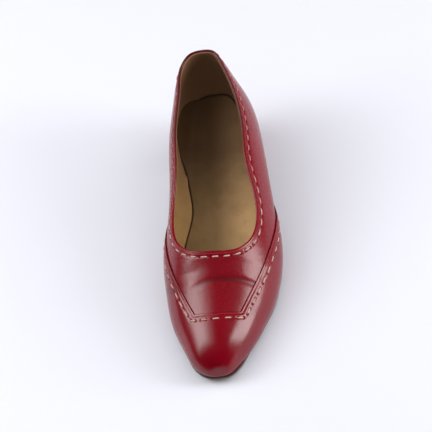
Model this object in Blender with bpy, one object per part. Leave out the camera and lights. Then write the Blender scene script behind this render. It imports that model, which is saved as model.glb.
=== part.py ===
"""Low-heeled court shoe for a left foot, built over the form of its last.

Sizes are millimetres and become metres when a mesh is made. A station is a distance forward
from the back of the heel seat. The toe points along -Y, the outer side of the foot is +X,
and the shoe stands on z = 0.
"""
import math
from collections import namedtuple

import bmesh
import bpy
import numpy as np

MM = 0.001

# Driving dimensions of the last.
LENGTH = 243.6
BALL_WIDTH = 77.0
INSTEP = 93.0
SEAT_RISE = 32.7
TOE_SPRING = 4.1

# Thickness of each layer, and the room left between two layers.
WALL = 2.0
PANEL = 1.0
PANEL_GAP = 0.4
SOLE = 3.8
INSOLE = 2.0
LIFT = 5.0
GAP = 0.3

# Depth to which the curved tread is flattened where the forefoot stands on the floor.
TREAD_FLAT = 0.25
BALL_LEVEL = SOLE - TREAD_FLAT + GAP

# Sections of the last. Station is a share of LENGTH; medial and lateral are the feather line's
# distances from the centre line, as shares of BALL_WIDTH; seat and spring lift the feather line,
# as shares of SEAT_RISE and TOE_SPRING; crown is the top of the section above the feather line,
# as a share of INSTEP; ridge is the crown's place across, and bulge how far the wall swells
# past the feather line, both in millimetres.
Section = namedtuple("Section", "station medial lateral seat spring crown ridge bulge")
SECTIONS = [
    Section(0.000, 0.000, 0.000, 1.000, 0.00, 1.000, 0.0, 2.4),
    Section(0.012, 0.167, 0.167, 0.993, 0.00, 1.000, 0.0, 2.4),
    Section(0.049, 0.262, 0.242, 0.966, 0.00, 1.000, 0.0, 2.6),
    Section(0.123, 0.304, 0.336, 0.905, 0.00, 1.000, 0.0, 4.8),
    Section(0.246, 0.334, 0.402, 0.774, 0.00, 0.998, 0.0, 6.95),
    Section(0.370, 0.334, 0.428, 0.580, 0.00, 0.965, 0.0, 8.3),
    Section(0.493, 0.394, 0.477, 0.296, 0.00, 0.873, -0.5, 7.4),
    Section(0.616, 0.482, 0.517, 0.032, 0.00, 0.694, -0.6, 5.8),
    Section(0.718, 0.500, 0.483, 0.000, 0.00, 0.484, -0.8, 3.8),
    Section(0.821, 0.455, 0.370, 0.000, 0.17, 0.357, -1.0, 2.7),
    Section(0.909, 0.356, 0.222, 0.000, 0.41, 0.271, -1.2, 1.9),
    Section(0.972, 0.255, 0.096, 0.000, 0.73, 0.168, -2.0, 1.1),
    Section(0.996, 0.149, 0.013, 0.000, 0.93, 0.077, -3.5, 0.8),
    Section(1.000, 0.058, -0.058, 0.000, 1.00, 0.000, -4.5, 0.5),
]

# The wall swells most at this height above the feather line, or at this share of a low crown.
BULGE_HEIGHT = 22.0
BULGE_SHARE = 0.45

# Places across a section run from 0 at the crown to 1 at the feather line.
# Top line of the quarters: station, and place across on each side.
Collar = namedtuple("Collar", "station lateral medial")
COLLAR = [
    Collar(0.0, 0.632, 0.632),
    Collar(35.0, 0.664, 0.672),
    Collar(70.0, 0.681, 0.705),
    Collar(105.0, 0.658, 0.703),
]
# In front of the last of those rows the throat closes in a squarish round, squarer on the lateral
# side. It is tilted: for each millimetre towards the lateral side it lies this much further on.
THROAT_STATION = 167.1
THROAT_LATERAL_POWER = 2.59
THROAT_MEDIAL_POWER = 2.31
THROAT_TILT = 0.058

# Apron seam, where the toe panel's edge lies: station, and place across. The two sides are
# joined by the front edge of the apron, which bows forward.
Seam = namedtuple("Seam", "station across")
SEAM_LATERAL = [Seam(206.0, 0.398), Seam(167.2, 0.597), Seam(131.0, 0.810), Seam(98.0, 0.985)]
SEAM_MEDIAL = [Seam(205.0, 0.339), Seam(166.0, 0.576), Seam(132.5, 0.786), Seam(93.2, 0.985)]
SEAM_FRONT_BOW = 2.7

# Outsole: station, how far its edge stands out past the feather line on each side, its thickness,
# and how far its lower edge is cut back.
SoleEdge = namedtuple("SoleEdge", "station medial lateral thickness cut_back")
SOLE_EDGES = [
    SoleEdge(0.0, 0.2, 0.2, 3.0, 0.3),
    SoleEdge(50.0, 0.2, 0.2, 3.0, 0.3),
    SoleEdge(90.0, 0.5, 0.5, 3.3, 5.0),
    SoleEdge(118.0, 1.2, 1.0, 3.6, 3.0),
    SoleEdge(150.0, 1.3, 1.1, SOLE, 0.7),
    SoleEdge(190.0, 1.3, 0.8, SOLE, 0.7),
    SoleEdge(208.0, 1.4, 0.3, 3.6, 0.7),
    SoleEdge(222.0, 1.7, 0.9, 3.2, 0.7),
    SoleEdge(234.0, 2.0, 2.2, 2.9, 0.7),
    SoleEdge(LENGTH, 2.3, 2.3, 2.7, 0.7),
]

# Heel: stations of its front at the top and at the foot and of its back at the foot, the foot's
# share of the top width, the inset under the sole's edge, and how hollow its sides are.
BREAST_TOP = 52.0
BREAST_FOOT = 46.0
BACK_FOOT = 7.0
FOOT_WIDTH = 0.74
HEEL_INSET = 0.5
HEEL_HOLLOW = 1.7

# The insole's edge keeps this far inside the feather line, clear of the wall.
INSOLE_INSET = WALL + 0.6

# Counts of faces along each piece.
REAR_RIBS = 20
FRONT_RIBS = 24
WALL_STEPS = 12
PANEL_RIBS = 66
PANEL_STEPS = 7
SOLE_SECTIONS = 44
SOLE_STEPS = 8
INSOLE_SECTIONS = 34
INSOLE_STEPS = 6
HEEL_RIBS = 16
HEEL_LEVELS = 6

# Turning that counts as much as this length of outline when an outline is divided evenly.
TURN_RADIUS = 14.0
READINGS = 600
SMALLEST = 1e-6
MERGE = 0.01


def spline(knots, values, at):
    """Read a natural cubic through values at knots."""
    knots = np.asarray(knots, float)
    values = np.asarray(values, float)
    flat = values.ndim == 1
    if flat:
        values = values[:, None]
    steps = np.diff(knots)
    slopes = np.diff(values, axis=0) / steps[:, None]
    count = len(knots)
    system = np.eye(count)
    target = np.zeros_like(values)
    for i in range(1, count - 1):
        system[i, i - 1:i + 2] = steps[i - 1], 2 * (steps[i - 1] + steps[i]), steps[i]
        target[i] = 6 * (slopes[i] - slopes[i - 1])
    bend = np.linalg.solve(system, target)
    at = np.asarray(at, float)
    i = np.clip(np.searchsorted(knots, at) - 1, 0, count - 2)
    step = steps[i][:, None]
    past = (at - knots[i])[:, None]
    left = (knots[i + 1] - at)[:, None]
    curve = (bend[i] * left ** 3 + bend[i + 1] * past ** 3) / (6 * step)
    line = (values[i] / step - bend[i] * step / 6) * left
    line += (values[i + 1] / step - bend[i + 1] * step / 6) * past
    result = curve + line
    return result[:, 0] if flat else result


class Last:
    """Form of the upper's outer side, read along the shoe by reach and across it by t.

    Reach runs from 0 at the back of the heel to self.end at the toe. Across a section, t is -1 at
    the medial feather line, 0 at the crown and 1 at the lateral feather line.
    """

    STATION, MEDIAL, LATERAL, FEATHER, CROWN, RIDGE, BULGE = range(7)
    ACROSS = (MEDIAL, LATERAL, RIDGE)

    def __init__(self):
        rows = np.array([self.in_millimetres(section) for section in SECTIONS])
        heel = self.mirrored(rows[2:0:-1], rows[0])
        toe = self.mirrored(rows[-2:-4:-1], rows[-1])
        toe[:, self.CROWN] *= -1
        rows = np.vstack([heel, rows, toe])
        plan = rows[:, [self.STATION, self.LATERAL]]
        lengths = np.hypot(*np.diff(plan, axis=0).T)
        self.knots = np.concatenate([[0.0], np.cumsum(lengths)])
        self.knots -= self.knots[len(heel)]
        self.rows = rows
        self.end = self.knots[-1 - len(toe)]
        self.readings = np.linspace(0.0, self.end, READINGS)
        self.stations = np.maximum.accumulate(self.section(self.readings)[:, self.STATION])

    def in_millimetres(self, section):
        lift = section.seat * SEAT_RISE + section.spring * TOE_SPRING
        return [section.station * LENGTH, -section.medial * BALL_WIDTH, section.lateral * BALL_WIDTH,
                BALL_LEVEL + lift, section.crown * INSTEP, section.ridge, section.bulge]

    def mirrored(self, rows, end):
        """Carry the rows round an end of the last, so that the outline closes smoothly there."""
        rows = rows.copy()
        for column in self.ACROSS:
            rows[:, column] = 2 * end[column] - rows[:, column]
        return rows

    def section(self, reach):
        return spline(self.knots, self.rows, np.atleast_1d(reach))

    def reach_at(self, station):
        return np.interp(station, self.stations, self.readings)

    def feather_height(self, reach):
        return self.section(reach)[:, self.FEATHER]

    def outward(self, reach, side):
        """Unit vector square to the feather line in plan, as x and station parts."""
        delta = self.end / READINGS
        column = self.LATERAL if side > 0 else self.MEDIAL
        change = self.section(np.asarray(reach) + delta) - self.section(np.asarray(reach) - delta)
        normal = np.stack([side * change[:, self.STATION], -side * change[:, column]], axis=1)
        return normal / np.linalg.norm(normal, axis=1)[:, None]

    def feather(self, reach, side, stand_out=0.0):
        """Points of the feather line, moved out square to it, as x, station and height."""
        rows = self.section(reach)
        normal = self.outward(reach, side)
        across = rows[:, self.LATERAL if side > 0 else self.MEDIAL] + normal[:, 0] * stand_out
        along = rows[:, self.STATION] + normal[:, 1] * stand_out
        return np.stack([across, along, rows[:, self.FEATHER]], axis=1)

    def wall(self, reach, t):
        """Points of the outer wall, as x, station and height."""
        reach = np.atleast_1d(np.asarray(reach, float))
        t = np.broadcast_to(np.asarray(t, float), reach.shape)
        rows = self.section(reach)
        lateral = t >= 0
        side = np.where(lateral, 1.0, -1.0)
        normal = np.where(lateral[:, None], self.outward(reach, 1), self.outward(reach, -1))
        edge = np.where(lateral, rows[:, self.LATERAL], rows[:, self.MEDIAL])
        angle = (1 - np.abs(t)) * math.pi / 2
        crown = np.maximum(rows[:, self.CROWN], 0.0)
        rise = crown * np.sin(angle)
        swell = rise / np.maximum(np.minimum(BULGE_HEIGHT, BULGE_SHARE * crown), SMALLEST)
        bulge = rows[:, self.BULGE] * swell * (2 - swell) * np.cos(angle)
        half = np.abs(edge - rows[:, self.RIDGE])
        across = rows[:, self.RIDGE] + side * np.cos(angle) * half + normal[:, 0] * bulge
        along = rows[:, self.STATION] + normal[:, 1] * bulge
        return np.stack([across, along, rows[:, self.FEATHER] + rise], axis=1)

    def plan_of(self, reach, t):
        """Place of a wall point in the flat plan, where ribs are straight lines."""
        rows = self.section(reach)
        edge = np.where(t >= 0, rows[:, self.LATERAL], rows[:, self.MEDIAL])
        half = np.abs(edge - rows[:, self.RIDGE])
        across = rows[:, self.RIDGE] + half * np.sin(t * math.pi / 2)
        return np.stack([across, rows[:, self.STATION]], axis=1)

    def wall_over(self, plan):
        """Wall points over places in the flat plan."""
        reach = self.reach_at(plan[:, 1])
        rows = self.section(reach)
        offset = plan[:, 0] - rows[:, self.RIDGE]
        edge = np.where(offset >= 0, rows[:, self.LATERAL], rows[:, self.MEDIAL])
        half = np.maximum(np.abs(edge - rows[:, self.RIDGE]), SMALLEST)
        return self.wall(reach, np.arcsin(np.clip(offset / half, -1, 1)) * 2 / math.pi)


def even_shares(points, count):
    """Shares of a plan outline, from 0 to 1, that divide it evenly by length and by turning."""
    steps = np.diff(points, axis=0)
    heading = np.unwrap(np.arctan2(steps[:, 1], steps[:, 0]))
    turning = np.abs(np.gradient(heading))
    measure = np.concatenate([[0.0], np.cumsum(np.hypot(steps[:, 0], steps[:, 1]) + TURN_RADIUS * turning)])
    return np.interp(np.linspace(0, 1, count + 1), measure / measure[-1], np.linspace(0, 1, len(points)))


def even_reaches(last, start, stop, count):
    """Reaches from start to stop that divide the lateral feather line evenly."""
    reaches = np.linspace(start, stop, READINGS)
    outline = last.feather(reaches, 1)[:, :2]
    return start + (stop - start) * even_shares(outline, count)


def collar_t(last, reach, side):
    """Place of the quarters' top line across each section, steady where the throat begins."""
    stations = np.array([row.station for row in COLLAR])
    across = np.array([row.lateral if side > 0 else row.medial for row in COLLAR])
    knots = np.concatenate([stations, 2 * stations[-1] - stations[-2::-1]])
    values = np.concatenate([across, across[-2::-1]])
    return side * spline(knots, values, last.section(reach)[:, last.STATION])


def throat(last, shares, side):
    """Plan of the throat's edge, from the quarters' last row to the middle of the vamp."""
    start = COLLAR[-1].station
    power = THROAT_LATERAL_POWER if side > 0 else THROAT_MEDIAL_POWER
    widest = collar_t(last, last.reach_at(np.array([start])), side)[0]
    angle = np.asarray(shares) * math.pi / 2
    station = start + (THROAT_STATION - start) * np.sin(angle) ** (2 / power)
    t = widest * np.abs(np.cos(angle)) ** (2 / power)
    plan = last.plan_of(last.reach_at(station), t)
    plan[:, 1] += THROAT_TILT * plan[:, 0] * np.sin(angle) ** 2
    return plan


def rib_between(last, top, bottom, steps):
    """Wall points on a straight line in plan, closer together towards the feather line."""
    share = np.sin(np.linspace(0, math.pi / 2, steps + 1))[:, None]
    return last.wall_over(top + (bottom - top) * share)


def upper_ribs(last):
    """Ribs of the upper from collar to feather line, once round the shoe from the heel."""
    join = last.reach_at(COLLAR[-1].station)
    rear = even_reaches(last, 0.0, join, REAR_RIBS)
    front = even_reaches(last, join, last.end, FRONT_RIBS)
    down = np.linspace(0, 1, WALL_STEPS + 1)
    sides = []
    for side in (1, -1):
        ribs = []
        for reach, top in zip(rear, collar_t(last, rear, side)):
            ribs.append(last.wall(np.full(len(down), reach), top + (side - top) * down))
        edge = throat(last, np.linspace(0, 1, READINGS), side)
        spread = np.concatenate([[0.0], np.cumsum(np.hypot(*np.diff(edge, axis=0).T))])
        shares = np.interp(np.linspace(0, spread[-1], FRONT_RIBS + 1), spread, np.linspace(0, 1, READINGS))
        tops = throat(last, shares, side)
        feet = last.plan_of(front, np.full(len(front), float(side)))
        for top, foot in zip(tops[1:], feet[1:]):
            ribs.append(rib_between(last, top, foot, WALL_STEPS))
        sides.append(ribs)
    lateral, medial = sides
    return np.array(lateral + medial[-2:0:-1])


def seam_plan(last):
    """Plan of the apron seam from its lateral end, across the front, to its medial end."""
    sides = []
    for rows, side in ((SEAM_LATERAL, 1), (SEAM_MEDIAL, -1)):
        across = np.array([row.across for row in rows])
        t = np.linspace(across[0], across[-1], READINGS // 4)
        station = spline(across, [row.station for row in rows], t)
        sides.append(last.plan_of(last.reach_at(station), side * t))
    lateral, medial = sides
    share = np.linspace(0, 1, READINGS // 8)[1:-1, None]
    front = lateral[0] + (medial[0] - lateral[0]) * share
    front[:, 1] += 4 * SEAM_FRONT_BOW * (share * (1 - share))[:, 0]
    return np.vstack([lateral[::-1], front, medial])


def along(points, shares):
    """Points at shares of a line's length."""
    lengths = np.concatenate([[0.0], np.cumsum(np.hypot(*np.diff(points, axis=0).T))])
    at = np.asarray(shares) * lengths[-1]
    return np.stack([np.interp(at, lengths, points[:, i]) for i in range(points.shape[1])], axis=1)


def panel_ribs(last):
    """Ribs of the toe panel from the apron seam to the feather line, lateral end to medial end."""
    feet = []
    for rows, side in ((SEAM_LATERAL, 1), (SEAM_MEDIAL, -1)):
        reaches = np.linspace(last.reach_at(rows[-1].station), last.end, READINGS)
        feet.append(last.plan_of(reaches, np.full(READINGS, float(side))))
    lateral, medial = feet
    foot_line = np.vstack([lateral, medial[-2::-1]])
    shares = even_shares(along(foot_line, np.linspace(0, 1, READINGS)), PANEL_RIBS)
    tops = along(seam_plan(last), shares)
    bottoms = along(foot_line, shares)
    return np.array([rib_between(last, top, foot, PANEL_STEPS) for top, foot in zip(tops, bottoms)])


def in_frame(points):
    """Turn x, station and height into x, y and z, in metres."""
    points = np.asarray(points)
    return np.stack([points[..., 0], -points[..., 1], points[..., 2]], axis=-1) * MM


def moved_out(grid, distance):
    """Move a grid of points square to the sheet that it describes."""
    normal = np.cross(np.gradient(grid, axis=1), np.gradient(grid, axis=0))
    return grid + normal / np.linalg.norm(normal, axis=-1)[..., None] * distance


def band_mesh(name, grid):
    """Mesh of a band of ribs that goes once round the shoe."""
    mesh = bmesh.new()
    rows = [[mesh.verts.new(point) for point in rib] for rib in grid]
    for here, there in zip(rows, rows[1:] + rows[:1]):
        for i in range(len(here) - 1):
            mesh.faces.new((here[i], there[i], there[i + 1], here[i + 1]))
    data = bpy.data.meshes.new(name)
    mesh.to_mesh(data)
    mesh.free()
    return data


def skinned_mesh(name, rings, capped):
    """Closed mesh over rings of points.

    A capped end is closed straight across its ring. Otherwise the end rings have no width and
    close by themselves.
    """
    mesh = bmesh.new()
    rows = [[mesh.verts.new(point) for point in ring] for ring in rings]
    count = len(rows[0])
    for here, there in zip(rows, rows[1:]):
        for i in range(count):
            after = (i + 1) % count
            mesh.faces.new((here[i], there[i], there[after], here[after]))
    for row in (rows[0], rows[-1]) if capped else ():
        for i in range((count - 1) // 2):
            corners = (row[i], row[i + 1], row[count - 2 - i], row[count - 1 - i])
            mesh.faces.new(tuple(dict.fromkeys(corners)))
    bmesh.ops.remove_doubles(mesh, verts=mesh.verts[:], dist=MERGE * MM)
    bmesh.ops.recalc_face_normals(mesh, faces=mesh.faces[:])
    data = bpy.data.meshes.new(name)
    mesh.to_mesh(data)
    mesh.free()
    return data


def add_piece(name, data, material, parent, crease=40.0):
    """Put a mesh into the scene as a named piece, shaded smooth between sharp edges."""
    piece = bpy.data.objects.new(name, data)
    bpy.context.scene.collection.objects.link(piece)
    piece.parent = parent
    data.materials.append(material)
    data.shade_smooth()
    data.set_sharp_from_angle(angle=math.radians(crease))
    return piece


def plain_material(name, colour, roughness):
    material = bpy.data.materials.new(name)
    material.use_nodes = True
    shader = material.node_tree.nodes["Principled BSDF"]
    shader.inputs["Base Color"].default_value = (*colour, 1.0)
    shader.inputs["Roughness"].default_value = roughness
    shader.inputs["Metallic"].default_value = 0.0
    return material


def make_upper(last, parent):
    leather = plain_material("red_leather", (0.23, 0.004, 0.012), 0.25)
    piece = add_piece("upper", band_mesh("upper", in_frame(upper_ribs(last))), leather, parent)
    wall = piece.modifiers.new("wall", "SOLIDIFY")
    wall.thickness = WALL * MM
    wall.offset = -1.0
    wall.use_even_offset = True


def make_toe_panel(last, parent):
    ribs = panel_ribs(last)
    sheets = []
    for distance in (PANEL_GAP + PANEL, PANEL_GAP):
        sheet = moved_out(ribs, distance)
        floor = last.feather_height(last.reach_at(sheet[..., 1].ravel())).reshape(sheet.shape[:2])
        sheet[..., 2] = np.maximum(sheet[..., 2], floor)
        sheets.append(in_frame(sheet))
    over, under = sheets
    rings = np.concatenate([over, under[:, ::-1]], axis=1)
    leather = plain_material("red_panel_leather", (0.21, 0.003, 0.010), 0.22)
    add_piece("toe_panel", skinned_mesh("toe_panel", rings, True), leather, parent)


def sole_profile(last, reaches):
    """Stand-out on each side, thickness and cut-back of the outsole at each reach."""
    stations = last.section(reaches)[:, last.STATION]
    columns = np.array(SOLE_EDGES)
    sides = [spline(columns[:, 0], columns[:, i], stations) for i in (1, 2)]
    return sides + [np.interp(stations, columns[:, 0], columns[:, i]) for i in (3, 4)]


def sole_underside(last, reaches):
    thickness = sole_profile(last, reaches)[2]
    return np.maximum(last.feather_height(reaches) - GAP - thickness, 0.0)


def slab_rings(last, reaches, steps, stand_out, cut_back, top, bottom):
    """Rings round a slab that follows the feather line, one for each reach.

    Its edge stands out past the feather line by one amount on the medial side, and by another on
    the lateral side.
    """
    past_medial, past_lateral = stand_out
    normal_lateral = last.outward(reaches, 1)
    normal_medial = last.outward(reaches, -1)
    lateral = last.feather(reaches, 1)[:, :2]
    medial = last.feather(reaches, -1)[:, :2]
    share = np.linspace(0, 1, steps + 1)[:, None]
    rings = []
    for i in range(len(reaches)):
        upper_left = medial[i] + normal_medial[i] * past_medial[i]
        upper_right = lateral[i] + normal_lateral[i] * past_lateral[i]
        lower_left = upper_left - normal_medial[i] * cut_back[i]
        lower_right = upper_right - normal_lateral[i] * cut_back[i]
        over = upper_left + (upper_right - upper_left) * share
        under = lower_right + (lower_left - lower_right) * share
        ring = [(*point, top[i]) for point in over]
        ring += [(*point, bottom[i]) for point in under]
        rings.append(in_frame(ring))
    return rings


def make_outsole(last, parent):
    reaches = even_reaches(last, 0.0, last.end, SOLE_SECTIONS)
    medial, lateral, _, cut_back = sole_profile(last, reaches)
    top = last.feather_height(reaches) - GAP
    sides = (medial, lateral)
    rings = slab_rings(last, reaches, SOLE_STEPS, sides, cut_back, top, sole_underside(last, reaches))
    leather = plain_material("sole_leather", (0.035, 0.024, 0.018), 0.45)
    add_piece("outsole", skinned_mesh("outsole", rings, False), leather, parent)


def make_insole(last, parent):
    reaches = even_reaches(last, 0.0, last.end, INSOLE_SECTIONS)
    inset = np.full(len(reaches), -INSOLE_INSET)
    level = np.zeros(len(reaches))
    bottom = last.feather_height(reaches)
    rings = slab_rings(last, reaches, INSOLE_STEPS, (inset, inset), level, bottom + INSOLE, bottom)
    leather = plain_material("sock_leather", (0.24, 0.16, 0.075), 0.6)
    add_piece("insole", skinned_mesh("insole", rings, False), leather, parent)


def heel_outlines(last):
    """Plan of the heel's top and of its foot, lateral breast corner round the back to medial."""
    breast = last.reach_at(BREAST_TOP)
    reaches = even_reaches(last, 0.0, breast, HEEL_RIBS)
    stand_out, _, _, cut_back = sole_profile(last, reaches)
    inset = stand_out - cut_back - HEEL_INSET
    sides = []
    for side in (1, -1):
        points = last.feather(reaches, side)[:, :2] + last.outward(reaches, side) * inset[:, None]
        sides.append(points)
    lateral, medial = sides
    middle = (lateral[:, 0] + medial[:, 0]) / 2
    back = lateral[0, 1]
    feet = []
    for points in sides:
        station = BACK_FOOT + (points[:, 1] - back) / (BREAST_TOP - back) * (BREAST_FOOT - BACK_FOOT)
        feet.append(np.stack([middle + (points[:, 0] - middle) * FOOT_WIDTH, station], axis=1))
    top = np.vstack([lateral[::-1], medial[1:]])
    foot = np.vstack([feet[0][::-1], feet[1][1:]])
    seat = sole_underside(last, reaches) - GAP
    return top, foot, np.concatenate([seat[::-1], seat[1:]])


def make_heel(last, parent):
    top, foot, seat = heel_outlines(last)
    rings = []
    for share in np.linspace(0, 1, HEEL_LEVELS + 1):
        drawn_in = 1 - (1 - share) ** HEEL_HOLLOW
        plan = top + (foot - top) * drawn_in
        height = seat + (LIFT + GAP - seat) * share
        rings.append(in_frame(np.column_stack([plan, height])))
    leather = plain_material("heel_leather", (0.20, 0.003, 0.010), 0.3)
    add_piece("heel", skinned_mesh("heel", rings, True), leather, parent)


def make_top_lift(last, parent):
    foot = heel_outlines(last)[1]
    rings = [in_frame(np.column_stack([foot, np.full(len(foot), height)])) for height in (LIFT, 0.0)]
    rubber = plain_material("lift_rubber", (0.02, 0.018, 0.016), 0.7)
    add_piece("top_lift", skinned_mesh("top_lift", rings, True), rubber, parent)


def centre_on_floor(parent):
    """Bring the middle of the whole shoe's plan over the origin."""
    bpy.context.view_layer.update()
    graph = bpy.context.evaluated_depsgraph_get()
    corners = []
    for piece in parent.children:
        mesh = piece.evaluated_get(graph).to_mesh()
        corners += [vertex.co.to_tuple() for vertex in mesh.vertices]
    corners = np.array(corners)
    middle = (corners.min(axis=0) + corners.max(axis=0)) / 2
    parent.location = (-middle[0], -middle[1], 0.0)


def main():
    for item in list(bpy.data.objects):
        bpy.data.objects.remove(item, do_unlink=True)
    shoe = bpy.data.objects.new("court_shoe", None)
    bpy.context.scene.collection.objects.link(shoe)
    last = Last()
    make_upper(last, shoe)
    make_toe_panel(last, shoe)
    make_insole(last, shoe)
    make_outsole(last, shoe)
    make_heel(last, shoe)
    make_top_lift(last, shoe)
    centre_on_floor(shoe)


main()
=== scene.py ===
"""Looks of a low-heeled court shoe: its leathers, lining, stitching, sole, heel and studio.

Laid out as an add-on, with one operator for each group of pieces. The form of the last is worked
out here from the same sizes as the solids. Until a mesh is made, sizes are millimetres and a
point is x across the shoe, station forward from the back of the heel seat, and height.
"""

import math
from collections import namedtuple
from functools import lru_cache

import bmesh
import bpy
import numpy as np
from mathutils import Matrix, Vector
from mathutils.kdtree import KDTree


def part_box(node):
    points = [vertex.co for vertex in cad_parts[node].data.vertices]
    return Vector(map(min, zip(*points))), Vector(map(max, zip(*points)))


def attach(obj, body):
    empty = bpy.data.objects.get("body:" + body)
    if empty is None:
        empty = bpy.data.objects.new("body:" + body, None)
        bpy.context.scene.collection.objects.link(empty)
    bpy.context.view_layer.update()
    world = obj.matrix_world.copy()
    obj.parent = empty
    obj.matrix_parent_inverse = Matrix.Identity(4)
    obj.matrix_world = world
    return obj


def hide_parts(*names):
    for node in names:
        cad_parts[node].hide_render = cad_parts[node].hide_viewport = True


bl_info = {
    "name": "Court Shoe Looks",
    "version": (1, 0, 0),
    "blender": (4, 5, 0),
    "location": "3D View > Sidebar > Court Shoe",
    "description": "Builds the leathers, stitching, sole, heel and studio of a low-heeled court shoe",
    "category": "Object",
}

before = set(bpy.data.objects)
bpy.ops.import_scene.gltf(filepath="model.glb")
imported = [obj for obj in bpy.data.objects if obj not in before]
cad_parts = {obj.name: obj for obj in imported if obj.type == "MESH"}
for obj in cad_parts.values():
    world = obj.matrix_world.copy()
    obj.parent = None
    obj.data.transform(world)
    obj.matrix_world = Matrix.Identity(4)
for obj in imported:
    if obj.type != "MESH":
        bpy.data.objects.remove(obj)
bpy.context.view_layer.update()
BODY = "root"
MM = 0.001

# Driving dimensions of the last.
LENGTH = 243.6
BALL_WIDTH = 77.0
INSTEP = 93.0
SEAT_RISE = 32.7
TOE_SPRING = 4.1

# Thickness of each layer, and the room left between two layers.
WALL = 2.0
PANEL = 1.0
PANEL_GAP = 0.4
SOLE = 3.8
INSOLE = 2.0
LIFT = 5.0
GAP = 0.3

# Depth to which the curved tread is flattened where the forefoot stands on the floor.
TREAD_FLAT = 0.25
BALL_LEVEL = SOLE - TREAD_FLAT + GAP

# Sections of the last. Station is a share of LENGTH; medial and lateral are the feather line's
# distances from the centre line, as shares of BALL_WIDTH; seat and spring lift the feather line,
# as shares of SEAT_RISE and TOE_SPRING; crown is the top of the section above the feather line,
# as a share of INSTEP; ridge is the crown's place across, and bulge how far the wall swells
# past the feather line, both in millimetres.
Section = namedtuple("Section", "station medial lateral seat spring crown ridge bulge")
SECTIONS = [
    Section(0.000, 0.000, 0.000, 1.000, 0.00, 1.000, 0.0, 2.4),
    Section(0.012, 0.167, 0.167, 0.993, 0.00, 1.000, 0.0, 2.4),
    Section(0.049, 0.262, 0.242, 0.966, 0.00, 1.000, 0.0, 2.6),
    Section(0.123, 0.304, 0.336, 0.905, 0.00, 1.000, 0.0, 4.8),
    Section(0.246, 0.334, 0.402, 0.774, 0.00, 0.998, 0.0, 6.95),
    Section(0.370, 0.334, 0.428, 0.580, 0.00, 0.965, 0.0, 8.3),
    Section(0.493, 0.394, 0.477, 0.296, 0.00, 0.873, -0.5, 7.4),
    Section(0.616, 0.482, 0.517, 0.032, 0.00, 0.694, -0.6, 5.8),
    Section(0.718, 0.500, 0.483, 0.000, 0.00, 0.484, -0.8, 3.8),
    Section(0.821, 0.455, 0.370, 0.000, 0.17, 0.357, -1.0, 2.7),
    Section(0.909, 0.356, 0.222, 0.000, 0.41, 0.271, -1.2, 1.9),
    Section(0.972, 0.255, 0.096, 0.000, 0.73, 0.168, -2.0, 1.1),
    Section(0.996, 0.149, 0.013, 0.000, 0.93, 0.077, -3.5, 0.8),
    Section(1.000, 0.058, -0.058, 0.000, 1.00, 0.000, -4.5, 0.5),
]

# The wall swells most at this height above the feather line, or at this share of a low crown.
BULGE_HEIGHT = 22.0
BULGE_SHARE = 0.45

# Places across a section run from 0 at the crown to 1 at the feather line.
# Top line of the quarters: station, and place across on each side.
Collar = namedtuple("Collar", "station lateral medial")
COLLAR = [
    Collar(0.0, 0.632, 0.632),
    Collar(35.0, 0.664, 0.672),
    Collar(70.0, 0.681, 0.705),
    Collar(105.0, 0.658, 0.703),
]
# In front of the last of those rows the throat closes in a squarish round, squarer on the lateral
# side. It is tilted: for each millimetre towards the lateral side it lies this much further on.
THROAT_STATION = 167.1
THROAT_LATERAL_POWER = 2.59
THROAT_MEDIAL_POWER = 2.31
THROAT_TILT = 0.058

# Apron seam, where the toe panel's edge lies: station, and place across. The two sides are
# joined by the front edge of the apron, which bows forward.
Seam = namedtuple("Seam", "station across")
SEAM_LATERAL = [Seam(206.0, 0.398), Seam(167.2, 0.597), Seam(131.0, 0.810), Seam(98.0, 0.985)]
SEAM_MEDIAL = [Seam(205.0, 0.339), Seam(166.0, 0.576), Seam(132.5, 0.786), Seam(93.2, 0.985)]
SEAM_FRONT_BOW = 2.7

# Outsole: station, how far its edge stands out past the feather line on each side, its thickness,
# and how far its lower edge is cut back.
SoleEdge = namedtuple("SoleEdge", "station medial lateral thickness cut_back")
SOLE_EDGES = [
    SoleEdge(0.0, 0.2, 0.2, 3.0, 0.3),
    SoleEdge(50.0, 0.2, 0.2, 3.0, 0.3),
    SoleEdge(90.0, 0.5, 0.5, 3.3, 5.0),
    SoleEdge(118.0, 1.2, 1.0, 3.6, 3.0),
    SoleEdge(150.0, 1.3, 1.1, SOLE, 0.7),
    SoleEdge(190.0, 1.3, 0.8, SOLE, 0.7),
    SoleEdge(208.0, 1.4, 0.3, 3.6, 0.7),
    SoleEdge(222.0, 1.7, 0.9, 3.2, 0.7),
    SoleEdge(234.0, 2.0, 2.2, 2.9, 0.7),
    SoleEdge(LENGTH, 2.3, 2.3, 2.7, 0.7),
]

# Heel: stations of its front at the top and at the foot and of its back at the foot, the foot's
# share of the top width, the inset under the sole's edge, how hollow its sides are, and how far
# its corners are rounded.
BREAST_TOP = 52.0
BREAST_FOOT = 46.0
BACK_FOOT = 7.0
FOOT_WIDTH = 0.74
HEEL_INSET = 0.5
HEEL_HOLLOW = 1.7
HEEL_CORNER = 1.2

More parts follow.
